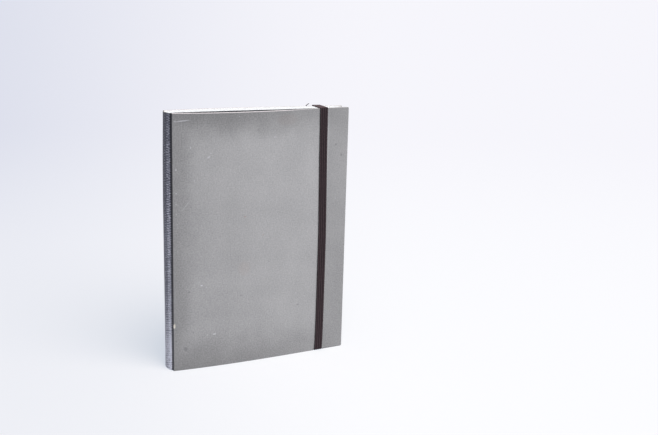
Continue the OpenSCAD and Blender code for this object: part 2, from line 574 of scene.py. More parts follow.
@dataclass(frozen=True)
class Finish:
    """What all finishes share: a name, and the strength and the depth in millimetres of bumps."""

    name: str
    bump: tuple[float, float]

    def place(self, tree: NodeTree) -> NodeSocket:
        """The coordinates that the patterns lie on: the piece's own flat ones."""
        return add(tree, "Attribute", attribute_name="flat").outputs["Vector"]

    def paint(self, tree: NodeTree, flat: NodeSocket) -> tuple[dict, Node]:
        """Adds the nodes of the finish to its material.

        Args:
            tree: The material's tree.
            flat: The coordinates.

        Returns:
            What goes into the shader's inputs, by name, and the height of the bumps.
        """
        raise NotImplementedError

    def make(self) -> Material:
        """Builds the material.

        Returns:
            The material.
        """
        material, tree, shader = new_material(self.name)
        looks, height = self.paint(tree, self.place(tree))
        strength, depth = self.bump
        normal = add(tree, "Bump", {"Strength": strength, "Distance": depth * MM, "Height": height})
        feed(tree, shader, {**looks, "Normal": normal})
        return material


@dataclass(frozen=True)
class GreyBoard(Finish):
    """Pulp board faced with grey paper: matt, faintly fibrous, pale where it is cut."""

    bump: tuple[float, float] = (0.35, 0.12)
    marks: tuple[Mark, ...] = ()
    face_dark: str = "#A4A3A4"
    face_light: str = "#CBC9C9"
    core_dark: str = "#D8CDC9"
    core_light: str = "#F4EDE9"
    # The joint edge is painted near-black this far in: painted shade of the groove
    dye: str = "#2C2C31"
    joint_edge_shade_mm: tuple = (0.1, 0.3)
    facing_mm: tuple = (0.3, 0.42)
    # The facing has rubbed off along the head, but not where the band has kept it
    arris: str = "#F2E8E8"
    arris_mm: tuple = (0.4, 0.15)
    arris_ends_mm: tuple = (92.0, 112.0)
    # Darkening towards the edges, weaker towards the fore-edge: partly handling dirt, partly painted
    # shade. The darker strip past the band is painted shade, where the board turns from the light
    dirt_and_shade: tuple[EdgeDarkening, ...] = (
        EdgeDarkening(0.72, 0.72, 24.5), EdgeDarkening(0.61, 1.0, 41.0, 2), EdgeDarkening(0.59, 0.91, 30.0, 2, Book.height),
    )
    dirt_and_shade_join: float = 0.1
    dirt_and_shade_cloud_mm: float = 12.0
    # A part of the darkening lies in the pits of the grain
    darkening_in_pits: tuple = (1.12, 0.88)
    shade_past_band: float = 0.83
    shade_past_band_mm: float = 19.5
    # Painted shade: the face is darker towards the joint and the tail, where less light falls
    painted_falloff: tuple[EdgeDarkening, ...] = (EdgeDarkening(0.84, 0.84, 109.0), EdgeDarkening(0.80, 0.80, 209.0, 2))
    cloud_mm: float = 28.0
    cloud_share: float = 0.42
    grain_mm: float = 1.1
    grain_share: float = 1.1
    fibre_mm: float = 5.0
    fibre_w_mm: float = 0.45
    fibre_turns: tuple = (25.0, -40.0)
    fibre_share: float = 0.3
    tone_range: tuple = (0.74, 1.38)
    roughness: tuple = (0.5, 0.62)
    fleck_mm: float = 6.0
    # Of the flecks, these shares are pale and are left out
    fleck_least: tuple = (0.6, 0.62)
    fleck_strength: float = 0.55

    def paint(self, tree: NodeTree, flat: NodeSocket) -> tuple[dict, Node]:
        """Adds the nodes of the face, its wear, dirt, painted shade and marks, and the cut edges.

        Args:
            tree: The material's tree.
            flat: The coordinates.

        Returns:
            What goes into the shader's inputs, by name, and the height of the bumps.
        """
        across, through, up = add(tree, "SeparateXYZ", {0: flat}).outputs
        cloud, grain = (
            add(tree, "TexNoise", {
                0: flat, "Scale": 1 / (size * MM), "Detail": 3.0, "Roughness": rough,
            }) for size, rough in ((self.cloud_mm, 0.5), (self.grain_mm, 0.65))
        )
        parts = [(cloud, self.cloud_share), (grain, self.grain_share)]
        for turn in self.fibre_turns:
            laid = add(tree, "Mapping", {
                0: flat, "Rotation": (0.0, math.radians(turn), 0.0),
                "Scale": (1 / self.fibre_w_mm, 1.0, 1 / self.fibre_mm),
            })
            fibre = add(tree, "TexNoise", {0: laid, "Scale": 1 / MM, "Detail": 1.0})
            parts.append((fibre, self.fibre_share))
        tone = 0.0
        for part, share in parts:
            tone = add(tree, "Math", {0: part, 1: share, 2: tone}, operation="MULTIPLY_ADD")
        low, high = self.tone_range
        level = add(tree, "MapRange", {0: tone, 1: low, 2: high})
        colour = add(tree, "Mix", {
            0: level, 6: linear(self.face_dark), 7: linear(self.face_light),
        }, data_type="RGBA").outputs[2]
        colour = self.darkened(tree, flat, colour, grain)
        # Sparse dark and pale flecks in the pulp
        fleck = add(tree, "TexVoronoi", {0: flat, "Scale": 1 / (self.fleck_mm * MM)})
        near = add(tree, "MapRange", {0: fleck, 1: 0.03, 2: 0.1, 3: self.fleck_strength, 4: 0.0})
        drawn = add(tree, "SeparateColor", {0: fleck.outputs["Color"]}).outputs
        pale, kept = (
            add(tree, "Math", {0: draw, 1: least}, operation="GREATER_THAN")
            for draw, least in zip(drawn, self.fleck_least)
        )
        shown = add(tree, "Math", {0: near, 1: kept}, operation="MULTIPLY")
        speck = add(tree, "Mix", {
            0: pale, 6: linear(Stain.DARK.value), 7: linear(Stain.PALE.value),
        }, data_type="RGBA").outputs[2]
        layers = [(shown, speck)]
        for stain in Stain:
            mask = 0.0
            for mark in self.marks:
                if mark.stain is stain:
                    mask = add(tree, "Math", {
                        0: mask, 1: self.mark_mask(tree, flat, mark),
                    }, operation="MAXIMUM")
            layers.append((mask, linear(stain.value)))
        # The rubbed head, the pale core that shows in the cut edges, and the joint edge, painted
        # near-black as the groove's shade
        core = add(tree, "Mix", {
            0: grain, 6: linear(self.core_dark), 7: linear(self.core_light),
        }, data_type="RGBA").outputs[2]
        fades, reach = 1.0, [Book.height - depth for depth in self.arris_mm]
        for place, (start, end), first, last, over in (
            (across, self.arris_ends_mm, 1.0, 0.0, None),
            (up, reach, 0.0, None, linear(self.arris)),
            (through, self.facing_mm, 0.0, 1.0, core),
            (across, self.joint_edge_shade_mm, 1.0, 0.0, linear(self.dye)),
        ):
            mask = add(tree, "MapRange", {
                0: place, 1: start * MM, 2: end * MM, 3: first, 4: fades if last is None else last,
            })
            if over is None:
                fades = mask
            else:
                layers.append((mask, over))
        rough = add(tree, "MapRange", {
            0: grain, 1: 0.3, 2: 0.7, 3: self.roughness[0], 4: self.roughness[1],
        })
        for mask, over in layers:
            colour = add(tree, "Mix", {0: mask, 6: colour, 7: over}, data_type="RGBA").outputs[2]
        return {"Base Color": colour, "Roughness": rough}, tone

    def darkened(
        self, tree: NodeTree, flat: NodeSocket, colour: NodeSocket, grain: Node,
    ) -> NodeSocket:
        """Darkens the face towards its edges: partly handling dirt, partly painted shade.

        Args:
            tree: The material's tree.
            flat: The flat coordinates.
            colour: The clean colour.
            grain: The grain of the pulp, whose pits hold more of the darkening.

        Returns:
            The darkened colour.
        """
        cloud = add(tree, "TexNoise", {
            0: flat, "Scale": 1 / (self.dirt_and_shade_cloud_mm * MM), "Detail": 2.0,
        }).outputs["Color"]
        # The cloud moves the darkening's edge by half its size either way
        offset = add(tree, "VectorMath", {0: cloud, 1: (0.5,) * 3}, operation="SUBTRACT")
        uneven = add(tree, "VectorMath", {
            0: offset, 1: (self.dirt_and_shade_cloud_mm * MM,) * 3, 2: flat,
        }, operation="MULTIPLY_ADD")
        cloudy, straight = (
            add(tree, "SeparateXYZ", {0: place}).outputs for place in (uneven, flat)
        )
        across = add(tree, "Math", {
            0: straight[0], 1: Book.board_w * MM,
        }, operation="DIVIDE", use_clamp=True)
        late = add(tree, "Math", {0: across, 1: 4.0}, operation="POWER")
        shares = []
        for places, darkenings in ((cloudy, self.dirt_and_shade), (straight, self.painted_falloff)):
            for darkening in darkenings:
                way = -1 if darkening.edge_mm else 1
                most = add(tree, "MapRange", {0: late, 3: darkening.near, 4: darkening.far})
                shares.append(add(tree, "MapRange", {
                    0: places[darkening.axis], 1: darkening.edge_mm * MM,
                    2: (darkening.edge_mm + way * darkening.reach_mm) * MM, 3: most, 4: 1.0,
                }, interpolation_type="SMOOTHSTEP"))
        strip = Book.board_w - self.shade_past_band_mm
        shares.append(add(tree, "MapRange", {
            0: straight[0], 1: strip * MM, 2: (strip + 1) * MM, 3: 1.0, 4: self.shade_past_band,
        }))
        share = shares[0]
        for k, other in enumerate(shares[1:], 1):
            join = "SMOOTH_MIN" if k < len(self.dirt_and_shade) else "MULTIPLY"
            share = add(tree, "Math", {0: share, 1: other, 2: self.dirt_and_shade_join}, operation=join)
        held = add(tree, "MapRange", {
            0: grain, 1: 0.35, 2: 0.65, 3: self.darkening_in_pits[0], 4: self.darkening_in_pits[1],
        })
        share = add(tree, "Math", {0: share, 1: held}, operation="POWER")
        darkened = add(tree, "VectorMath", {0: colour, "Scale": share}, operation="SCALE")
        return darkened.outputs[0]

    def mark_mask(self, tree: NodeTree, flat: NodeSocket, mark: Mark) -> Node:
        """Draws one mark as a soft ellipse.

        Args:
            tree: The material's tree.
            flat: The flat coordinates.
            mark: The mark.

        Returns:
            The node that is the mark's strength on it and 0 off it.
        """
        laid = add(tree, "Mapping", {
            0: flat,
            "Location": (mark.x * MM, 0.0, mark.z * MM),
            "Rotation": (0.0, math.radians(-mark.turn), 0.0),
            "Scale": (mark.long / 2 * MM, 1.0, mark.wide / 2 * MM),
        }, vector_type="TEXTURE")
        away = add(tree, "VectorMath", {0: laid}, operation="LENGTH").outputs["Value"]
        return add(tree, "MapRange", {
            0: away, 1: 0.55, 2: 1.1, 3: mark.strength, 4: 0.0,
        }, interpolation_type="SMOOTHSTEP")


@dataclass(frozen=True)
class BookCloth(Finish):
    """Dyed cotton book cloth: an open weave whose raised threads catch the light."""

    name: str = "woven_cotton_book_cloth"
    bump: tuple[float, float] = (0.8, 0.16)
    hollow: str = "#15161C"
    thread: str = "#5C5D6B"
    # The palest threads, where the painted bounce light and the shoulder highlight are strongest
    worn: str = "#D2D3DF"
    # Near-black cloth in the joint groove: painted shade, with some dust
    groove: str = "#08090B"
    # Real threads lie 0.4 mm apart: drawn coarser, at the pitch at which the photograph shows
    # them, so that the weave is seen from a step away
    rib_mm: float = 1.96
    rib_share: float = 0.3
    # How far across the spine a rib runs while it climbs by one rib
    slant_mm: float = 7.0
    # How far the ribs wander, and how far along until they turn
    wander_mm: float = 0.8
    wander_step_mm: float = 2.5
    # Thick and thin places of single threads, across and up, and then the nubs of the cross
    # threads, which are what shows from a step away: width, height and share of the relief
    uneven_mm: tuple = ((1.2, 7.0, 1.0), (7.0, 1.2, 1.0), (2.2, 0.9, 2.4))
    relief_range: tuple = (1.4, 3.4)
    # How much paler the shoulders are painted: a painted highlight where they face the light
    shoulder: float = 0.2

    def paint(self, tree: NodeTree, flat: NodeSocket) -> tuple[dict, Node]:
        """Adds the nodes of the weave and its wear.

        Args:
            tree: The material's tree.
            flat: The coordinates.

        Returns:
            What goes into the shader's inputs, by name, and the height of the bumps.
        """
        wander = add(tree, "TexNoise", {
            0: flat, "Scale": 1 / (self.wander_step_mm * MM), "Detail": 1.0,
        })
        moved = add(tree, "VectorMath", {
            0: wander.outputs["Color"], 1: (self.wander_mm * MM,) * 3, 2: flat,
        }, operation="MULTIPLY_ADD")
        across, _, up = add(tree, "SeparateXYZ", {0: moved}).outputs
        relief = []
        # Two sets of ribs, one climbing and one falling, cross in a checker of raised threads
        for way in (1, -1):
            climb = add(tree, "Math", {
                0: across, 1: way * self.rib_mm / self.slant_mm, 2: up,
            }, operation="MULTIPLY_ADD")
            turn = add(tree, "Math", {
                0: climb, 1: 2 * math.pi / (self.rib_mm * MM),
            }, operation="MULTIPLY")
            rib = add(tree, "Math", {0: turn}, operation="SINE")
            relief.append((rib, self.rib_share))
        for wide, high, share in self.uneven_mm:
            laid = add(tree, "Mapping", {0: flat, "Scale": (1 / wide, 1.0, 1 / high)})
            noise = add(tree, "TexNoise", {0: laid, "Scale": 1 / MM, "Detail": 1.0})
            relief.append((noise, share))
        raised = 0.0
        for part, share in relief:
            raised = add(tree, "Math", {0: part, 1: share, 2: raised}, operation="MULTIPLY_ADD")
        low, high = self.relief_range
        level = add(tree, "MapRange", {0: raised, 1: low, 2: high, 3: -0.5, 4: 0.5}, clamp=False)
        # Towards the tail the cloth is painted paler and its raised threads stand out more: painted
        # bounce light from the table. In the joint groove it is near-black: painted shade, with some dust
        pale, keen, shoulder, groove = (
            add(tree, "Attribute", attribute_name=name).outputs["Fac"]
            for name in ("pale", "keen", "shoulder", "groove")
        )
        level = add(tree, "Math", {0: level, 1: keen, 2: pale}, operation="MULTIPLY_ADD")
        level = add(tree, "Math", {
            0: shoulder, 1: self.shoulder, 2: level,
        }, operation="MULTIPLY_ADD", use_clamp=True)
        ramp = add(tree, "ValToRGB", {0: level})
        for stop, colour in zip(ramp.color_ramp.elements, (self.hollow, self.worn)):
            stop.color = linear(colour)
        ramp.color_ramp.elements.new(0.5).color = linear(self.thread)
        colour = add(tree, "Mix", {
            0: groove, 6: ramp.outputs[0], 7: linear(self.groove),
        }, data_type="RGBA").outputs[2]
        return {
            "Base Color": colour,
            "Roughness": 0.8, "Sheen Weight": 0.12, "Sheen Roughness": 0.4,
        }, level


@dataclass(frozen=True)
class ClothBounceLight:
    """Painted bounce light on the book cloth: how pale it is at some heights above the tail."""

    # Height, level of the cloth's tone, and how much its threads stand out
    steps: tuple = (
        (0, 0.86, 0.85), (16, 0.9, 0.8), (41, 0.7, 0.75), (74, 0.56, 0.7),
        (108, 0.58, 0.65), (141, 0.48, 0.65), (175, 0.46, 0.65), (210, 0.41, 0.55),
    )

    def attributes(self, z: Array) -> dict[str, Array]:
        """The attributes that the cloth's material reads, at heights in millimetres."""
        heights, pale, keen = np.array(self.steps).T
        return {"pale": np.interp(z, heights, pale), "keen": np.interp(z, heights, keen)}


@dataclass(frozen=True)
class WovePaper(Finish):
    """Uncoated paper: dead matt, with a faint cloudy look-through and a tone of its own."""

    bump: tuple[float, float] = (0.12, 0.05)
    light: str = "#FCFCFD"
    dark: str = "#F5F5F4"
    # How much the leaf's own tone counts beside the clouds
    spread: float = 0.35
    cloud_mm: float = 6.0
    tone_range: tuple = (0.35, 0.95)

    def paint(self, tree: NodeTree, flat: NodeSocket) -> tuple[dict, Node]:
        """Adds the nodes of the paper, with the leaf's own tone where the piece has one.

        Args:
            tree: The material's tree.
            flat: The coordinates.

        Returns:
            What goes into the shader's inputs, by name, and the height of the bumps.
        """
        own = add(tree, "Attribute", attribute_name="tone").outputs["Fac"]
        cloud = add(tree, "TexNoise", {
            0: flat, "Scale": 1 / (self.cloud_mm * MM), "Detail": 4.0, "Roughness": 0.6,
        })
        low, high = self.tone_range
        tone = add(tree, "Math", {0: own, 1: self.spread, 2: cloud}, operation="MULTIPLY_ADD")
        level = add(tree, "MapRange", {0: tone, 1: low, 2: high})
        colour = add(tree, "Mix", {
            0: level, 6: linear(self.light), 7: linear(self.dark),
        }, data_type="RGBA").outputs[2]
        return {"Base Color": colour, "Roughness": 0.85}, cloud


@dataclass(frozen=True)
class RibbedElastic(Finish):
    """Knitted elastic of covered rubber: dark brown ribs with fine stitches across them."""

    name: str = "knitted_rubber_elastic"
    bump: tuple[float, float] = (0.5, 0.1)
    furrow: str = "#150F12"
    rib: str = "#34272B"
    lit: str = "#48393D"
    # Painted highlight for the band's top over the head
    worn: str = "#6E5A5C"
    ribs: int = 4
    stitch_mm: float = 1.1
    yarn_mm: float = 0.8
    left_edge_shade_mm: float = 0.7
    # Shares of the stitches, the furrows and the painted shade along the band's left edge in the tone
    stitch_share: float = 0.22
    furrow_share: float = -0.42
    left_edge_shade: float = -0.75
    light_end: float = 1.15
    rib_stop: float = 0.55

    def paint(self, tree: NodeTree, flat: NodeSocket) -> tuple[dict, Node]:
        """Adds the nodes of the ribs and stitches.

        Args:
            tree: The material's tree.
            flat: The coordinates.

        Returns:
            What goes into the shader's inputs, by name, and the height of the bumps.
        """
        across, _, up = add(tree, "SeparateXYZ", {0: flat}).outputs
        turn, along = (
            add(tree, "Math", {0: place, 1: 2 * math.pi * rate / MM}, operation="MULTIPLY")
            for place, rate in ((across, self.ribs / Book.band_w), (up, 1 / self.stitch_mm))
        )
        slant = add(tree, "Math", {0: turn, 1: 0.5, 2: along}, operation="MULTIPLY_ADD")
        rib = add(tree, "Math", {0: turn}, operation="COSINE")
        stitch = add(tree, "Math", {0: slant}, operation="SINE")
        yarn = add(tree, "TexNoise", {0: flat, "Scale": 1 / (self.yarn_mm * MM), "Detail": 2.0})
        high = yarn
        for part, share in ((stitch, self.stitch_share), (rib, self.furrow_share)):
            high = add(tree, "Math", {0: part, 1: share, 2: high}, operation="MULTIPLY_ADD")
        bound = add(tree, "MapRange", {
            0: across, 1: 0.0, 2: self.left_edge_shade_mm * MM, 3: self.left_edge_shade, 4: 0.0,
        })
        tone = add(tree, "Math", {0: high, 1: bound}, operation="ADD")
        level = add(tree, "MapRange", {0: tone, 1: 0.0, 2: self.light_end})
        ramp = add(tree, "ValToRGB", {0: level})
        for stop, colour in zip(ramp.color_ramp.elements, (self.furrow, self.lit)):
            stop.color = linear(colour)
        ramp.color_ramp.elements.new(self.rib_stop).color = linear(self.rib)
        # Over the head of the book, where its side faces up, it is painted paler: a painted highlight
        # from the light above
        rubbed = add(tree, "Attribute", attribute_name="rubbed").outputs["Fac"]
        colour = add(tree, "Mix", {
            0: rubbed, 6: ramp.outputs[0], 7: linear(self.worn),
        }, data_type="RGBA").outputs[2]
        return {
            "Base Color": colour,
            "Roughness": 0.8, "Specular IOR Level": 0.25,
        }, high


@dataclass(frozen=True)
class CreasedLining(Finish):
    """Kraft lining paper soaked with glue: dull, yellowish and blotchy."""

    name: str = "glued_kraft_lining"
    bump: tuple[float, float] = (0.3, 0.1)
    light: str = "#CFC3A6"
    dark: str = "#A99A7B"
    blotch_mm: float = 5.0

    def place(self, tree: NodeTree) -> NodeSocket:
        """Object coordinates, because the CAD node keeps its own mesh."""
        return add(tree, "TexCoord").outputs["Object"]

    def paint(self, tree: NodeTree, flat: NodeSocket) -> tuple[dict, Node]:
        """Adds the nodes of the blotches.

        Args:
            tree: The material's tree.
            flat: The coordinates.

        Returns:
            What goes into the shader's inputs, by name, and the height of the bumps.
        """
        blotch = add(tree, "TexNoise", {0: flat, "Scale": 1 / (self.blotch_mm * MM), "Detail": 4.0})
        colour = add(tree, "Mix", {
            0: blotch, 6: linear(self.dark), 7: linear(self.light),
        }, data_type="RGBA").outputs[2]
        return {"Base Color": colour, "Roughness": 0.75}, blotch


# Pieces


@dataclass
class Cover:
    """One cover: its board, the cloth under its joint edge and the paper pasted inside it."""

    book: Book
    side: Side
    board_finish: Material
    cloth_finish: Material
    paper_finish: Material
    edge_r: float = 0.2
    corner_r: float = 1.1
    step: float = 1.7
    paper_inset: float = 0.5
    cloth_inset: float = 0.15
    groove_split: float = -0.5
    # How much deeper the cloth lies in the groove than under the board, and where it steps in
    groove_depth: float = 0.5
    groove_step: tuple = (-0.42, -0.02)
    fold_lap: float = 0.3
    fold_bulge: float = 0.18
    fold_steps: int = 12
    chip_z: float = 38.0
    chip_half: float = 2.4
    # How far in and how deep the chip reaches, and how far it is knocked in
    chip_reach: tuple = (1.4, 0.9)
    chip_bite: tuple = (0.5, 0.35, 0.0)

    @property
    def body(self) -> str:
        """The body that the cover's pieces ride on."""
        return f"{self.side.word}_cover"

    def bend(self, flat: Array) -> Array:
        """Bends flat points (x, depth, z) to the cover's bowed shape, in the part's frame."""
        x, depth, z = flat.T
        return self.book.place(np.stack([x, self.book.cover_y(self.side, x, z, depth), z], -1))

    def unbend(self, points: Array) -> Array:
        """Turns points in the part's frame back into flat ones.

        Args:
            points: The points.

        Returns:
            The same points as (x, depth, z).
        """
        x, y, z = (points / MM - np.array([self.book.origin_x, self.book.origin_y, 0])).T
        z = z / self.book.stretch(y)
        outer = self.book.cover_y(self.side, x, z, 0.0)
        return np.stack([x, -self.side.value * (y - outer), z], -1)

    def turned(self, faces: Array) -> Array:
        """Faces that point outwards on this side."""
        return faces if self.side is Side.FRONT else faces[:, ::-1]

    def round_corners(self, flat: Array) -> Array:
        """Wears the two corners at the fore-edge to a small radius.

        Args:
            flat: Points (x, depth, z) of the board.

        Returns:
            The same points, with the corners drawn in.
        """
        worn = flat.copy()
        inner_x = self.book.board_w - self.corner_r
        for middle, way in ((self.corner_r, -1), (self.book.height - self.corner_r, 1)):
            x = np.maximum(worn[:, 0] - inner_x, 0)
            z = np.maximum(way * (worn[:, 2] - middle), 0)
            reach = np.hypot(x, z)
            shrink = np.where(reach > 0, np.maximum(x, z) / np.maximum(reach, 1e-9), 1)
            inside = (x > 0) & (z > 0)
            worn[:, 0] = np.where(inside, inner_x + x * shrink, worn[:, 0])
            worn[:, 2] = np.where(inside, middle + way * z * shrink, worn[:, 2])
        return worn

    def chip(self, flat: Array) -> Array:
        """Knocks a small chip out of the joint edge.

        Args:
            flat: Points (x, depth, z) of the board.

        Returns:
            The same points, knocked in at the chip.
        """
        near = np.clip(1 - flat[:, :2] / np.array(self.chip_reach), 0, 1).prod(axis=1)
        along = np.clip(1 - ((flat[:, 2] - self.chip_z) / self.chip_half) ** 2, 0, 1)
        return flat + (near * along)[:, None] * np.array(self.chip_bite)

    def board(self) -> Object:
        """Builds the bowed board.

        Returns:
            The board's object.
        """
        book, radius, corner = self.book, self.edge_r, self.corner_r
        chips = self.chip_z + np.linspace(-self.chip_half, self.chip_half, 9)
        flat, faces = slab(
            cuts(book.board_w, radius, self.step, (*book.dent_cuts(), book.board_w - corner)),
            cuts(book.board_t, radius, 0.65),
            cuts(book.height, radius, self.step, (*chips, corner, book.height - corner)),
            radius,
        )
        flat = book.press_tail(self.round_corners(flat))
        if self.side is Side.FRONT:
            flat = self.chip(flat)
        piece = new_piece(f"{self.side.word}_grey_board", self.bend(flat), self.turned(faces))
        if self.side is Side.BACK:
            self.cut_band_slots(piece)
        points = np.empty(len(piece.data.vertices) * 3)
        piece.data.vertices.foreach_get("co", points)
        store(piece.data, flat=self.unbend(points.reshape(-1, 3)) * MM)
        piece.data.materials.append(self.board_finish)
        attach(piece, self.body)
        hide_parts(f"{self.side.word}_board")
        return piece

    def cut_band_slots(self, piece: Object) -> None:
        """Cuts the slits for the band through a board, and the recesses for its glued ends.

        Args:
            piece: The board.
        """
        book, route = self.book, BandRoute(self.book)
        inner = book.board_t - book.band_t - book.band_gap
        past, half, gap = 1.0, book.dent_h / 2, book.band_gap
        head, tail = route.slit_head, route.slit_tail
        for k, (z0, z1, depth) in enumerate((
            (head - half, head + half, -past),
            (tail - half, tail + half, -past),
            (route.tab_head - route.tab_l - gap, head, inner),
            (tail, route.tab_tail + route.tab_l + gap, inner),
        )):
            xs = book.band_x + np.linspace(-book.dent_half, book.dent_half, 6)
            flat, faces = slab(xs, np.array([depth, book.board_t + past]), np.array([z0, z1]), 0.0)
            cutter = new_piece(f"cutter_{k}", self.bend(flat), self.turned(faces))
            modifier = piece.modifiers.new("slot", "BOOLEAN")
            modifier.operation, modifier.solver, modifier.object = "DIFFERENCE", "EXACT", cutter
            bake_modifiers(piece)
            bpy.data.objects.remove(cutter)
        piece.data.set_sharp_from_angle(angle=math.radians(50))

    def endpaper(self) -> Object:
        """Builds the paper pasted over the board and the edge of the cloth.

        Returns:
            The paper's object.
        """
        book, inset, radius = self.book, self.paper_inset, self.book.paste_t * 0.45
        ramp = book.flange_w + np.linspace(0, book.paste_ramp, 5)
        xs = cuts(book.board_w - inset, radius, 2.0, (*book.dent_cuts(), *ramp))
        zs = inset + cuts(book.height - 2 * inset, radius, 3.5)
        flat, faces = slab(xs, cuts(book.paste_t, radius, 1.0), zs, radius)
        over_cloth = 1 - smooth(book.flange_w, book.flange_w + book.paste_ramp, flat[:, 0])
        laid = book.press_tail(flat)
        laid[:, 1] += book.board_t + book.cloth_t * over_cloth
        name = f"{self.side.word}_endpaper"
        piece = new_piece(name, self.bend(laid), self.turned(faces), flat=flat * MM)
        piece.data.materials.append(self.paper_finish)
        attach(piece, self.body)
        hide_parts(f"{self.side.word}_pastedown")
        return piece

    def joint_cloth(self) -> Object:
        """Builds the end of the book cloth, from the groove to its edge under the board.

        Returns:
            The cloth's object, which bends where the cover opens.
        """
        book, start, radius = self.book, self.groove_split, self.book.cloth_t * 0.4
        xs = np.concatenate([np.linspace(start, 0, 15), cuts(book.flange_w, radius, 1.5)[1:]])
        zs = self.cloth_inset + cuts(book.height - 2 * self.cloth_inset, radius, 3.5)
        flat, faces = slab(xs, cuts(book.cloth_t, radius, 0.3), zs, radius)
        laid = flat.copy()
        laid[:, 1] += book.board_t + self.groove_depth * (1 - smooth(*self.groove_step, flat[:, 0]))
        # The groove attribute paints shade on the cloth in the joint groove
        piece = new_piece(
            f"{self.side.word}_joint_cloth", self.bend(laid), self.turned(faces), flat=flat * MM,
            groove=0.8 * (1 - smooth(0.3, 1.0, flat[:, 0])), **ClothBounceLight().attributes(flat[:, 2]),
        )
        piece.data.materials.append(self.cloth_finish)
        ends = book.place(np.array([[start, 0, 0], [0, 0, 0]]))
        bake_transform(piece, "book_block", self.body, start=tuple(ends[0]), end=tuple(ends[1]))
        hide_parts(f"{self.side.word}_hinge_cloth")
        return piece

    def endpaper_fold(self) -> Object:
        """Builds the fold of the endpaper, from its half on the board to its half on the pages.

        Returns:
            The fold's object, which lies open over the joint where the cover opens.
        """
        book, half_t = self.book, self.book.paste_t * 0.45
        on_board = book.board_t + book.cloth_t + book.paste_t / 2
        gap = book.cover_gap + book.paste_t
        on_pages = on_board + gap
        turn = np.linspace(-math.pi / 2, math.pi / 2, self.fold_steps + 1)
        # The paper's middle line: along the board, round the fold and back along the pages
        line = np.stack([
            np.concatenate([[self.fold_lap], -self.fold_bulge * np.cos(turn), [self.fold_lap]]),
            np.concatenate([[on_board], on_board + gap * (np.sin(turn) + 1) / 2, [on_pages]]),
        ], -1)
        slope = np.gradient(line, axis=0)
        slope /= np.linalg.norm(slope, axis=1, keepdims=True)
        zs = cuts(book.height - 1.0, 0.0, 6.0) + 0.5
        flat, faces = slab(np.arange(float(len(line))), np.array([-half_t, half_t]), zs, 0.0)
        place = flat[:, 0].round().astype(int)
        off = flat[:, 1:2] * np.stack([-slope[place, 1], slope[place, 0]], -1)
        laid = np.concatenate([line[place] + off, flat[:, 2:]], axis=1)
        piece = new_piece(
            f"{self.side.word}_endpaper_fold", self.bend(laid), self.turned(faces),
            flat=np.concatenate([laid[:, :1], flat[:, 1:]], axis=1) * MM,
        )
        piece.data.materials.append(self.paper_finish)
        ends = self.bend(np.array([[0, on_pages, 0], [0, on_board, 0]]))
        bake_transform(piece, "book_block", self.body, start=tuple(ends[0]), end=tuple(ends[1]))
        return piece


@dataclass
class Spine:
    """The cloth over the rounded back, turned in at both grooves."""

    book: Book
    cloth_finish: Material
    lining_finish: Material
    groove_split: float = -0.5
    samples: int = 49
    inset: float = 0.1
    # Where the painted groove shade ends, where it has faded, and how dark it is
    groove_shade_mm: tuple = (0.1, 0.6)
    groove_shade_share: float = 0.1
    # The shoulder's painted highlight reaches from the first of these to the last
    shoulder_mm: tuple = (0.2, 0.8, 2.5, 5.5)
    # The cloth stands a little higher over the upper half: how much at some heights
    swells: tuple = (
        (0, -0.1), (16, -0.1), (41, -0.02), (74, 0.2), (108, 0.45), (141, 0.66), (175, 0.56),
        (200, 0.2), (210, 0.05),
    )
    swell_mm: tuple = (0.5, 4.0)

    def outline(self, z: float, above: float, groove_y: float) -> Array:
        """One face of the cloth at a height.

        Args:
            z: Height above the tail.
            above: Height of the face above the pages' back.
            groove_y: The face's y in the front groove.

        Returns:
            Points (x, y) from the front groove to the back one, with soft shoulders.
        """
        first, last = ([self.groove_split, y] for y in (groove_y, self.book.stack_t - groove_y))
        line = np.concatenate([[first], self.book.spine_arc(z, above, self.samples), [last]])
        for _ in range(2):
            a, b = line[:-1], line[1:]
            cut = np.stack([0.75 * a + 0.25 * b, 0.25 * a + 0.75 * b], 1).reshape(-1, 2)
            line = np.concatenate([line[:1], cut, line[-1:]])
        return line

    def cloth(self) -> Object:
        """Builds the cloth.

        Returns:
            The cloth's object.
        """
        book, slack = self.book, 0.02
        groove = book.side_t - book.cloth_t + slack
        # The outer and the inner face, at the tail and then at the head
        outlines = [
            (
                self.outline(z, book.wrap_t, groove),
                self.outline(z, book.lining_t + slack, groove + book.cloth_t - 3 * slack),
            ) for z in (0.0, book.height)
        ]
        steps = np.diff(outlines[0][0], axis=0)
        run = np.concatenate([[0], np.cumsum(np.linalg.norm(steps, axis=1))])
        radius = book.cloth_t * 0.4
        zs = self.inset + cuts(book.height - 2 * self.inset, radius, 2.5)
        flat, faces = slab(run, cuts(book.cloth_t, radius, 0.3), zs, radius)
        along, share_in, share_up = flat[:, 0], flat[:, 1] / book.cloth_t, flat[:, 2] / book.height
        points = flat.copy()
        for axis in (0, 1):
            found = [[np.interp(along, run, line[:, axis]) for line in lines] for lines in outlines]
            tail, head = ((1 - share_in) * outer + share_in * inner for outer, inner in found)
            points[:, axis] = tail + (head - tail) * share_up
        # The outline runs from the front to the back, so its outer face points to the left
        from_groove = np.minimum(along, run[-1] - along)
        swell = np.interp(flat[:, 2], *np.array(self.swells).T)
        points[:, 0] -= swell * smooth(*self.swell_mm, from_groove)
        rise, fall = self.shoulder_mm[:2], self.shoulder_mm[2:]
        # The shoulder attribute is a painted highlight, and the groove attribute a painted shade
        piece = new_piece(
            "spine_book_cloth", book.place(points), faces[:, ::-1], flat=flat * MM,
            groove=self.groove_shade_share * (1 - smooth(*self.groove_shade_mm, from_groove)),
            shoulder=smooth(*rise, from_groove) * (1 - smooth(*fall, from_groove)),
            **ClothBounceLight().attributes(flat[:, 2]),
        )
        piece.data.materials.append(self.cloth_finish)
        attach(piece, "book_block")
        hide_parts("spine_cloth")
        return piece

    def dress_lining(self, node: Object) -> None:
        """Gives the lining under the cloth its finish."""
        node.data.materials.clear()
        node.data.materials.append(self.lining_finish)


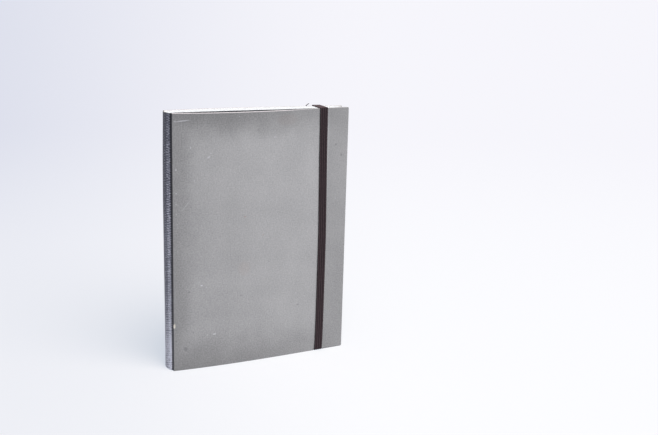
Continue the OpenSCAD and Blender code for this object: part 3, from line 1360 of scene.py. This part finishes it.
@dataclass
class Leaves:
    """The pages: single leaves from cover to cover, with a rounded back."""

    book: Book
    finish: Material
    # About half as many as the real book has, so that their edges still show
    count: int = 72
    fill: float = 0.9
    trim: float = 0.22
    seed: int = 7
    # How far from the back its rounding reaches
    back_mm: float = 12.0

    def tree(self) -> NodeTree:
        """Builds the tree that repeats one leaf from the front of the pages to the back.

        Returns:
            The tree.
        """
        tree, given, result = new_tree("leaf_stack", {
            "Leaves": "Int", "Fill": "Float", "Trim": "Float", "Seed": "Int", "Paper": "Material",
        })
        give = given.outputs
        line = add(tree, "GeometryNodeMeshLine", {
            "Count": give["Leaves"], "Offset": (0.0, 0.0, 0.0),
        })
        geometry = add(tree, "GeometryNodeInstanceOnPoints", {
            "Points": line, "Instance": give["Geometry"],
        })
        middle = add(tree, "Math", {
            0: add(tree, "GeometryNodeInputIndex"), 1: 0.5,
        }, operation="ADD")
        value = add(tree, "Math", {0: middle, 1: give["Leaves"]}, operation="DIVIDE")
        # Each leaf's share of the way through the book, its tone, and how it is cut
        drawn = {"share": "FLOAT", "tone": "FLOAT", "cut": "FLOAT_VECTOR"}
        for k, (key, kind) in enumerate(drawn.items()):
            if k:
                seed = add(tree, "Math", {0: give["Seed"], 1: float(k)}, operation="ADD")
                chance = add(tree, "FunctionNodeRandomValue", {"Seed": seed}, data_type=kind)
                value = chance.outputs[0 if kind == "FLOAT_VECTOR" else 1]
            geometry = add(tree, "GeometryNodeStoreNamedAttribute", {
                "Geometry": geometry, "Name": key, "Value": value,
            }, data_type=kind, domain="INSTANCE")
        real = add(tree, "GeometryNodeRealizeInstances", {"Geometry": geometry})
        stored = drawn | {
            "front": "FLOAT_VECTOR", "back": "FLOAT_VECTOR", "reach": "FLOAT_VECTOR",
            "skin": "FLOAT", "round": "FLOAT",
        }
        read = {
            key: add(tree, "GeometryNodeInputNamedAttribute", {
                "Name": key,
            }, data_type=kind).outputs[0] for key, kind in stored.items()
        }
        thin = add(tree, "Math", {0: give["Fill"], 1: give["Leaves"]}, operation="DIVIDE")
        where = add(tree, "Math", {
            0: read["skin"], 1: thin, 2: read["share"],
        }, operation="MULTIPLY_ADD")
        # The middle leaves reach further over the back: 4 s (1 - s) of the rounding
        crown = where
        other = add(tree, "Math", {0: 1.0, 1: where}, operation="SUBTRACT")
        for factor in (other, -4.0, read["round"]):
            crown = add(tree, "Math", {0: crown, 1: factor}, operation="MULTIPLY")
        over = add(tree, "CombineXYZ", {0: crown})
        trimmed = add(tree, "VectorMath", {0: read["cut"], 1: read["reach"]}, operation="MULTIPLY")
        trimmed = add(tree, "VectorMath", {0: trimmed, "Scale": give["Trim"]}, operation="SCALE")
        place = add(tree, "Mix", {
            0: where, 4: read["front"], 5: read["back"],
        }, data_type="VECTOR").outputs[1]
        for step, operation in ((over, "ADD"), (trimmed, "SUBTRACT")):
            place = add(tree, "VectorMath", {0: place, 1: step}, operation=operation)
        moved = add(tree, "GeometryNodeSetPosition", {"Geometry": real, "Position": place})
        done = add(tree, "GeometryNodeSetMaterial", {"Geometry": moved, "Material": give["Paper"]})
        feed(tree, result, {0: done})
        return tree

    def block(self) -> Object:
        """Builds the block of pages.

        Returns:
            The block's object.
        """
        book = self.book
        start, long = book.shoulder_x, book.pages_x - book.shoulder_x
        marks = (*book.dent_cuts(), book.band_x, 0.5, 1.5, 3.0)
        xs = start + cuts(long, 0.0, 8.0, tuple(x - start for x in marks))
        zs = cuts(book.height, 0.0, 35.0, (1.0, 3.0, 6.0, 12.0))
        flat, faces = slab(xs, np.array([0.0, 1.0]), zs, 0.0)
        x, skin, z = book.press_tail(flat).T
        near_back = np.clip(1 - (x - start) / self.back_mm, 0, 1)
        front, back = (
            book.place(np.stack([x, book.page_y(side, x, z), z], -1)) for side in Side
        )
        reach = np.stack([smooth(start, book.pages_x, x), np.zeros_like(x), z / book.height], -1)
        piece = new_piece(
            "page_block", front, faces, flat=flat * MM, front=front, back=back, reach=reach,
            skin=skin - 0.5, round=book.at_height(book.rounding, z) * near_back**2 * MM,
        )
        grow(piece, self.tree(), {
            "Leaves": self.count, "Fill": self.fill, "Trim": self.trim * MM, "Seed": self.seed,
            "Paper": self.finish,
        }, ("front", "back", "reach", "skin", "round", "share", "cut"), 30)
        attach(piece, "book_block")
        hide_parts("text_block")
        return piece


@dataclass
class Flyleaf:
    """The loose half of an endpaper, which lies on the pages."""

    book: Book
    side: Side
    finish: Material
    inset: float = 0.1

    def leaf(self) -> Object:
        """Builds the leaf.

        Returns:
            The leaf's object.
        """
        book = self.book
        xs = cuts(book.pages_x - self.inset, 0.0, 3.0, book.dent_cuts())
        zs = self.inset / 2 + cuts(book.height - self.inset, 0.0, 10.0, (1.0, 3.0, 6.0, 12.0))
        flat, faces = slab(xs, np.array([0.0, book.paste_t]), zs, 0.0)
        x, depth, z = book.press_tail(flat).T
        y = book.page_y(self.side, x, z) + self.side.value * (book.paste_t - depth)
        faces = faces if self.side is Side.FRONT else faces[:, ::-1]
        points = book.place(np.stack([x, y, z], -1))
        piece = new_piece(f"{self.side.word}_loose_endpaper", points, faces, flat=flat * MM)
        piece.data.set_sharp_from_angle(angle=math.radians(30))
        piece.data.materials.append(self.finish)
        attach(piece, "book_block")
        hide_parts(f"{self.side.word}_flyleaf")
        return piece


@dataclass(frozen=True)
class BandRoute:
    """The way of the band's middle line, in the book's space."""

    book: Book
    slit_inset: float = 14.0
    tab_l: float = 16.0
    bend_r: float = 0.3
    turn_steps: int = 8
    run_step: float = 4.0

    @property
    def slit_r(self) -> float:
        """Radius of the middle line at a slit."""
        return self.bend_r + self.book.band_t / 2

    @property
    def slit_head(self) -> float:
        """Height of the upper slit."""
        return self.book.height - self.slit_inset - self.slit_r

    @property
    def slit_tail(self) -> float:
        """Height of the lower slit."""
        return self.slit_inset + self.slit_r

    @property
    def tab_head(self) -> float:
        """Where the upper glued end starts."""
        return self.slit_head - self.slit_r

    @property
    def tab_tail(self) -> float:
        """Where the lower glued end starts."""
        return self.slit_tail + self.slit_r

    def stations(self) -> Array:
        """Stations of the middle line.

        Returns:
            For each one its share of the way from the front cover's face to the back one's, its
            offset outwards from there, its height, and the angle of the band's outer side.
        """
        book = self.book
        corner = book.band_gap + book.band_t / 2
        tab_off = book.band_t / 2 - book.board_t
        slit, out = self.slit_r, corner - self.slit_r
        line = [[1, tab_off, self.tab_head - self.tab_l, 2 * math.pi]]
        # Each bend: share, middle (offset and height), radius, angles, and which side is outer
        for share, off, z, radius, angles, facing in (
            (1, tab_off + slit, self.tab_head, slit, (180, 90), 180),
            (1, out, book.height - self.slit_inset, slit, (270, 360), 0),
            (1, 0, book.height, corner, (0, 90), 0),
            (0, 0, book.height, corner, (90, 180), 0),
            (0, 0, book.dent_h, corner, (180, 270), 0),
            (1, 0, book.dent_h, corner, (270, 360), 0),
            (1, out, self.slit_inset, slit, (0, 90), 0),
            (1, tab_off + slit, self.tab_tail, slit, (270, 180), 180),
        ):
            line += [
                [
                    share, off + radius * math.cos(a), z + radius * math.sin(a),
                    a + math.radians(facing),
                ] for a in np.radians(np.linspace(*angles, self.turn_steps + 1))
            ]
        line += [[1, tab_off, self.tab_tail + self.tab_l, 2 * math.pi]]
        dense = [line[0]]
        for a, b in zip(line, line[1:]):
            length = math.hypot((b[0] - a[0]) * book.stack_t, b[2] - a[2])
            count = max(1, round(length / self.run_step))
            dense += [
                [p + (q - p) * k / count for p, q in zip(a, b)] for k in range(1, count + 1)
            ]
        return np.array(dense)


@dataclass
class Band:
    """The elastic band, and the thread that stands loose beside it at the head."""

    book: Book
    finish: Material
    ribs: int = 4
    furrow: float = 0.2
    across_steps: int = 32
    edge: float = 0.3
    keep: float = 0.06
    # A distance behind the back cover, for an anchor point that nothing uses
    behind: float = 2.2
    # The band is a little slack in front, and doesn't lie quite straight: how far it strays
    # towards the fore-edge at some heights in front, and over the head edge of the back board
    slack: float = 0.07
    strays: tuple = (
        (0, 0.0), (8, 0.4), (30, 0.65), (100, 0.75), (135, 0.15), (170, -0.6), (210, -1.1),
    )
    strays_back: tuple = ((197, 0.0), (210, 1.4))
    # How much paler it is painted over the head, where its side faces up more than this: a painted
    # highlight from the light above
    rubbed: float = 0.6
    rubbed_from: float = 0.75
    # The thread's way in the book's space: its y is the depth under the back cover
    thread: tuple = (
        (121.2, 1.0, 209.9), (121.8, 1.0, 210.5), (122.6, 1.1, 211.2), (123.4, 1.2, 211.8),
        (124.2, 1.2, 212.3),
    )
    thread_r: tuple = (0.3, 0.36, 0.34, 0.3, 0.14)
    thread_sides: int = 8

    def sway(self, share: Array, height: Array) -> Array:
        """How far the band lies off its straight way, towards the fore-edge.

        Args:
            share: Share of the way from the front cover to the back one.
            height: Height above the tail.

        Returns:
            The distance in millimetres.
        """
        front, back = (
            np.interp(height, *np.array(places).T) for places in (self.strays, self.strays_back)
        )
        return front + (back - front) * share

    def tree(self) -> NodeTree:
        """Builds the tree that presses the furrows between the ribs into a flat band.

        Returns:
            The tree.
        """
        tree, given, result = new_tree("rib_band", {
            "Ribs": "Int", "Furrow": "Float", "Elastic": "Material",
        })
        give = given.outputs
        stored = {"out": "FLOAT_VECTOR", "across": "FLOAT", "top": "FLOAT"}
        read = {
            key: add(tree, "GeometryNodeInputNamedAttribute", {
                "Name": key,
            }, data_type=kind).outputs[0] for key, kind in stored.items()
        }
        # The depth of a furrow is (1 + cos(2 pi ribs across)) / 2 of the full one, on top only
        wave = read["across"]
        for operation, other in (
            ("MULTIPLY", give["Ribs"]), ("MULTIPLY", 2 * math.pi), ("COSINE", 0.0), ("ADD", 1.0),
            ("MULTIPLY", -0.5), ("MULTIPLY", give["Furrow"]), ("MULTIPLY", read["top"]),
        ):
            wave = add(tree, "Math", {0: wave, 1: other}, operation=operation)
        inwards = add(tree, "VectorMath", {0: read["out"], "Scale": wave}, operation="SCALE")
        moved = add(tree, "GeometryNodeSetPosition", {
            "Geometry": give["Geometry"], "Offset": inwards,
        })
        real = add(tree, "GeometryNodeRealizeInstances", {"Geometry": moved})
        done = add(tree, "GeometryNodeSetMaterial", {"Geometry": real, "Material": give["Elastic"]})
        feed(tree, result, {0: done})
        return tree

    def elastic(self) -> Object:
        """Builds the band round the closed book.

        Returns:
            The band's object, which rides on the back cover.
        """
        book = self.book
        stations = BandRoute(book).stations()
        share, off, height, angle = (column[:, None] for column in stations.T)
        # Section of the band as a ring: the ribbed outer side, then the flat inner one
        half, half_w = book.band_t / 2, book.band_w / 2
        top_x = np.linspace(-half_w, half_w, self.across_steps + 1)
        low_x = top_x[::-1][2:-2:4]
        ring_x = np.concatenate([top_x, low_x])
        near_edge = 1 - np.clip((half_w - np.abs(top_x)) / self.edge, 0, 1)
        ring_out = np.concatenate([
            half * np.sqrt(1 - 0.9 * near_edge**2), np.full(len(low_x), -half),
        ])
        ring_top = np.concatenate([1 - near_edge, np.zeros(len(low_x))])
        rows, ring = len(stations), len(ring_x)
        x = book.band_x + ring_x * (1 + self.slack * (1 - share)) + self.sway(share, height)
        z = height + ring_out * np.sin(angle)
        front, back = (book.cover_y(side, x, z, 0.0) for side in Side)
        y = front + (back - front) * share + off + ring_out * np.cos(angle)
        points = book.place(np.stack([x, y, z], -1).reshape(-1, 3))
        line = points.reshape(rows, ring, 3)[:, self.across_steps // 2]
        run = np.concatenate([[0], np.cumsum(np.linalg.norm(np.diff(line, axis=0), axis=1))])
        even = np.zeros_like(z)
        outwards = np.stack([even, np.cos(angle) + even, np.sin(angle) + even], -1)
        flat = np.stack([
            (ring_x + half_w) * MM + even, ring_out * MM + even, run[:, None] + even,
        ], -1)
        on_head = smooth(self.rubbed_from, 1.0, np.sin(angle)) * (height > book.height / 2)
        piece = new_piece(
            "elastic_closure", points, tube(rows, ring), flat=flat.reshape(-1, 3),
            out=outwards.reshape(-1, 3), across=np.tile(ring_x / book.band_w + 0.5, rows),
            top=np.tile(ring_top, rows), rubbed=(self.rubbed * on_head + even).ravel(),
        )
        grow(piece, self.tree(), {
            "Ribs": self.ribs, "Furrow": self.furrow * MM, "Elastic": self.finish,
        }, ("out", "across", "top"), 60)
        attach(piece, "back_cover")
        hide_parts("elastic_band")
        outer = book.cover_y(Side.BACK, book.band_x, book.height, 0.0)
        anchor = book.place(np.array([[book.band_x, outer + self.behind, 0]]))[0]
        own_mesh(piece)
        return piece

    def loose_fibre(self) -> Object:
        """Builds the short dark thread that stands on the head of the back board.

        Returns:
            The thread's object.
        """
        book, sides = self.book, self.thread_sides
        path = np.array(self.thread)
        path[:, 1] = book.cover_y(Side.BACK, path[:, 0], path[:, 2], path[:, 1])
        turn = np.linspace(0, 2 * math.pi, sides, endpoint=False)
        # The ring lies across the thread, which leans
        ring = np.stack([-0.5 * np.cos(turn), np.sin(turn), 0.8 * np.cos(turn)], -1)
        rings = path[:, None] + np.array(self.thread_r)[:, None, None] * ring
        piece = new_piece(
            "loose_thread", book.place(rings.reshape(-1, 3)), tube(len(path), sides, flip=True),
            flat=np.tile([[0.9 * MM, 0, 0]], (len(path) * sides, 1)),
        )
        piece.data.materials.append(self.finish)
        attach(piece, "back_cover")
        return piece


# Stage


@dataclass
class Studio:
    """The white table, the soft light from the front and the camera of the photograph."""

    book: Book
    camera_at: tuple = (-235.3, -728.3, 314.5)
    azimuth: float = -27.10
    elevation: float = 13.56
    roll: float = -1.67
    lens: float = 54.41
    sun_strength: float = 2.8
    sun_azimuth: float = 12.0
    sun_elevation: float = 54.0
    sun_width: float = 55.0
    fill_strength: float = 0.35
    fill_colour: str = "#E9EDF7"
    # The white sheet under the book throws light back, and the room beyond it less
    table_near: str = "#EEEFF2"
    table_far: str = "#87888C"
    table_mm: tuple = (120.0, 600.0)
    table_middle: tuple = (-130.0, 60.0, 0.0)
    table_reach: float = 30000.0
    table_drop: float = 0.02
    # Of the white that the table shows, this share is lit and shaded, and the rest is even
    table_shade: float = 0.42
    # Tints to the left and to the right, the heading between them and half the turn it takes:
    # first near the camera, then far from it, and the distances in metres between the two
    near_tints: tuple = ("#EEEFF4", "#FCFCFE", 20.0, 14.0)
    far_tints: tuple = ("#D7DAE7", "#F6F5FA", 15.0, 16.0)
    tints_m: tuple = (0.6, 2.2)
    # How much bluer the shadows are than the light
    shadow_blue: float = 0.16
    sky: str = "#EDEFF6"

    def towards(self, azimuth: float, elevation: float) -> Vector:
        """The direction towards a heading and a height, both in degrees."""
        a, e = math.radians(azimuth), math.radians(elevation)
        return Vector((math.sin(a) * math.cos(e), -math.cos(a) * math.cos(e), math.sin(e)))

    def lights(self) -> None:
        """Sets up the soft sun and the weak, bluish light from all round."""
        data = bpy.data.lights.new("window", "SUN")
        data.energy, data.angle = self.sun_strength, math.radians(self.sun_width)
        lamp = bpy.data.objects.new("window", data)
        lamp.rotation_mode = "QUATERNION"
        towards = self.towards(self.sun_azimuth, self.sun_elevation)
        lamp.rotation_quaternion = towards.to_track_quat("Z", "Y")
        bpy.context.scene.collection.objects.link(lamp)
        world = bpy.data.worlds.new("studio")
        bpy.context.scene.world = world
        world.use_nodes = True
        tree = world.node_tree
        tree.nodes.clear()
        fill, sky = (
            add(tree, "Background", {0: linear(colour), 1: strength})
            for colour, strength in ((self.fill_colour, self.fill_strength), (self.sky, 1.0))
        )
        mix = add(tree, "MixShader", {0: self.seen_directly(tree), 1: fill, 2: sky})
        add(tree, "OutputWorld", {0: mix})

    def seen_directly(self, tree: NodeTree) -> Node:
        """A node that is 1 for what the camera, a reflection or a clear piece shows.

        Args:
            tree: The tree that it goes into.

        Returns:
            The node.
        """
        path = add(tree, "LightPath").outputs
        seen = path["Is Camera Ray"]
        for ray in ("Is Glossy Ray", "Is Transmission Ray"):
            seen = add(tree, "Math", {0: seen, 1: path[ray]}, operation="MAXIMUM")
        return seen

    def table_tint(self, tree: NodeTree, place: NodeSocket) -> NodeSocket:
        """The table's white, which is bluer to the left, as seen from its front edge.

        Args:
            tree: The table's tree.
            place: Object coordinates.

        Returns:
            The colour.
        """
        front = self.book.place_plain(np.array([self.camera_at]))[0]
        ahead = add(tree, "VectorMath", {
            0: place, 1: (front[0], front[1], 0.0),
        }, operation="SUBTRACT")
        x, y, _ = add(tree, "SeparateXYZ", {0: ahead}).outputs
        heading = add(tree, "Math", {0: x, 1: y}, operation="ARCTAN2")
        length = add(tree, "VectorMath", {0: ahead}, operation="LENGTH").outputs["Value"]
        start, end = self.tints_m
        distant = add(tree, "MapRange", {
            0: length, 1: start, 2: end,
        }, interpolation_type="SMOOTHSTEP")
        tints = []
        for left, right, middle, half_turn in (self.near_tints, self.far_tints):
            # The sine comes back to the same tint all round, without a seam
            off = add(tree, "Math", {0: heading, 1: math.radians(middle)}, operation="SUBTRACT")
            side = add(tree, "Math", {0: off}, operation="SINE")
            limit = math.sin(math.radians(half_turn))
            turned = add(tree, "MapRange", {
                0: side, 1: -limit, 2: limit,
            }, interpolation_type="SMOOTHSTEP")
            tints.append(add(tree, "Mix", {
                0: turned, 6: linear(left), 7: linear(right),
            }, data_type="RGBA").outputs[2])
        return add(tree, "Mix", {0: distant, 6: tints[0], 7: tints[1]}, data_type="RGBA").outputs[2]

    def floor(self) -> Object:
        """Lays the table.

        Returns:
            The table's object.
        """
        reach = self.table_reach
        corners = [[-reach, -reach], [reach, -reach], [reach, reach], [-reach, reach]]
        points = np.array([[x, y, -self.table_drop] for x, y in corners])
        piece = new_piece("table", self.book.place_plain(points), [[0, 1, 2, 3]])
        material, tree, shader = new_material("white_laminate_table")
        place = add(tree, "TexCoord").outputs["Object"]
        middle = self.book.place_plain(np.array([self.table_middle]))[0]
        away = add(tree, "VectorMath", {
            0: place, 1: tuple(middle),
        }, operation="DISTANCE").outputs["Value"]
        near, far = self.table_mm
        beyond = add(tree, "MapRange", {
            0: away, 1: near * MM, 2: far * MM,
        }, interpolation_type="SMOOTHSTEP")
        white = add(tree, "Mix", {
            0: beyond, 6: linear(self.table_near), 7: linear(self.table_far),
        }, data_type="RGBA").outputs[2]
        feed(tree, shader, {"Base Color": white, "Roughness": 0.9, "Specular IOR Level": 0.0})
        tint = self.table_tint(tree, place)
        blue = self.shadow_blue
        shaded = [self.table_shade * (1 + more) for more in (blue, 0, -blue)]
        lit, even = (
            add(tree, kind, {
                0: add(tree, "VectorMath", {0: tint, 1: share}, operation="MULTIPLY"),
            }) for kind, share in (
                ("BsdfDiffuse", shaded),
                ("Emission", [1 - share for share in shaded]),
            )
        )
        shown = add(tree, "AddShader", {0: lit, 1: even})
        mix = add(tree, "MixShader", {0: self.seen_directly(tree), 1: shader, 2: shown})
        feed(tree, tree.nodes["Material Output"], {0: mix})
        piece.data.materials.append(material)
        return piece

    def camera(self) -> None:
        """Sets up the camera that was fitted to the corners and edges in the photograph."""
        r = math.radians(self.roll)
        back = self.towards(self.azimuth, self.elevation)
        level = (-back).cross(Vector((0, 0, 1))).normalized()
        down = (-back).cross(level)
        right, down = (
            math.cos(r) * level + math.sin(r) * down, -math.sin(r) * level + math.cos(r) * down,
        )
        at = Vector(self.book.place_plain(np.array([self.camera_at]))[0])
        data = bpy.data.cameras.new("photo_camera")
        data.sensor_fit, data.sensor_width, data.lens = "HORIZONTAL", 36.0, self.lens
        data.clip_start, data.clip_end = 0.01, 200.0
        camera = bpy.data.objects.new("photo_camera", data)
        axes = Matrix((right, -down, back)).transposed().to_4x4()
        camera.matrix_world = Matrix.Translation(at) @ axes
        bpy.context.scene.collection.objects.link(camera)
        bpy.context.scene.camera = camera


# The whole notebook

FRONT_MARKS = (
    Mark(8.0, 204.1, 12.0, 1.0, strength=0.6, turn=6),
    Mark(2.4, 203.6, 2.4, 1.5, strength=0.4),
    Mark(2.8, 165.9, 1.5, 1.7, strength=0.5),
    Mark(2.8, 147.3, 1.3, 1.6, strength=0.5),
    Mark(2.7, 138.5, 1.2, 1.4, strength=0.45),
    Mark(3.0, 130.5, 1.2, 1.2, strength=0.4),
    Mark(13.9, 183.2, 1.0, 2.4, strength=0.6),
    Mark(28.1, 175.3, 3.0, 1.4, strength=0.65, turn=35),
    Mark(29.8, 178.4, 1.4, 1.2, strength=0.5),
    Mark(22.8, 70.9, 2.2, 1.1, strength=0.85),
    Mark(20.7, 73.4, 1.2, 0.9, strength=0.4),
    Mark(27.0, 69.1, 1.3, 1.1, strength=0.3),
    Mark(33.8, 28.2, 3.4, 1.0, strength=0.8),
    Mark(83.2, 189.0, 1.9, 1.4, strength=0.55),
    Mark(108.0, 132.0, 1.6, 1.0, strength=0.35),
    Mark(86.0, 115.0, 1.4, 1.2, strength=0.3),
    Mark(10.4, 137.4, 12.6, 0.7, strength=0.3, turn=52),
    Mark(58.7, 125.4, 2.2, 1.6, Stain.RUST, 0.4),
    Mark(74.8, 108.8, 1.6, 1.4, Stain.RUST, 0.3),
    Mark(94.3, 202.5, 22.0, 11.0, Stain.RUST, 0.07),
    Mark(58.7, 82.0, 12.0, 14.0, Stain.RUST, 0.1),
    Mark(0.9, 38.4, 1.5, 4.6, Stain.CORE, 0.95),
    Mark(9.9, 17.9, 3.6, 4.2, Stain.DARK, 0.45),
    Mark(16.2, 31.6, 2.0, 1.8, Stain.DARK, 0.35),
    Mark(2.1, 25.5, 1.4, 1.4, Stain.DARK, 0.5),
    Mark(12.7, 66.2, 2.2, 1.8, Stain.DARK, 0.4),
    Mark(56.5, 59.0, 2.2, 1.8, Stain.DARK, 0.35),
    Mark(108.6, 44.0, 2.4, 1.8, Stain.DARK, 0.4),
    Mark(141.2, 179.5, 1.8, 1.6, Stain.DARK, 0.4),
    Mark(146.9, 170.4, 2.4, 2.6, Stain.DARK, 0.4),
    # A dark line along the tail edge beside the band: partly dirt, partly painted contact shadow
    Mark(137.0, 0.4, 36.0, 1.4, Stain.DARK, 0.45),
)
BACK_MARKS = (
    Mark(30.0, 180.0, 6.0, 0.5, strength=0.3, turn=20),
    Mark(95.0, 60.0, 9.0, 0.5, strength=0.25, turn=-12),
    Mark(60.0, 120.0, 1.5, 1.3, strength=0.4),
    Mark(120.0, 30.0, 2.6, 2.4, Stain.DARK, 0.25),
    Mark(20.0, 40.0, 1.6, 1.6, Stain.DARK, 0.3),
)


def main() -> None:
    """Builds the notebook round its frame."""
    logging.basicConfig(level=logging.INFO, format="%(message)s")
    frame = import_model()
    bpy.context.scene.view_settings.view_transform = "Standard"
    book = Book.from_frame(frame["record"])
    cloth = BookCloth().make()
    elastic = RibbedElastic().make()
    spine = Spine(book, cloth, CreasedLining().make())
    made = [spine.cloth(), Leaves(book, WovePaper("wove_paper_leaf_edges").make()).block()]
    spine.dress_lining(frame["nodes"]["spine_lining"])
    # The endpapers are dark grey, partly as painted shade for the dark gap at the head between the front
    # board and the pages
    dark_paper = WovePaper("dyed_wove_endpaper", light="#55565B", dark="#45464B", spread=0.0).make()
    for side, marks in ((Side.FRONT, FRONT_MARKS), (Side.BACK, BACK_MARKS)):
        board = GreyBoard(f"{side.word}_grey_faced_pulp_board", marks=marks).make()
        cover = Cover(book, side, board, cloth, dark_paper)
        made += [cover.board(), cover.endpaper(), cover.joint_cloth(), cover.endpaper_fold()]
        made.append(Flyleaf(book, side, dark_paper).leaf())
    band = Band(book, elastic)
    made += [band.elastic(), band.loose_fibre()]
    for piece in made:
        points, faces = len(piece.data.vertices), len(piece.data.polygons)
        LOG.info("%s: %d points, %d faces", piece.name, points, faces)
    studio = Studio(book)
    studio.lights()
    studio.floor()
    studio.camera()


if __name__ == "__main__":
    main()
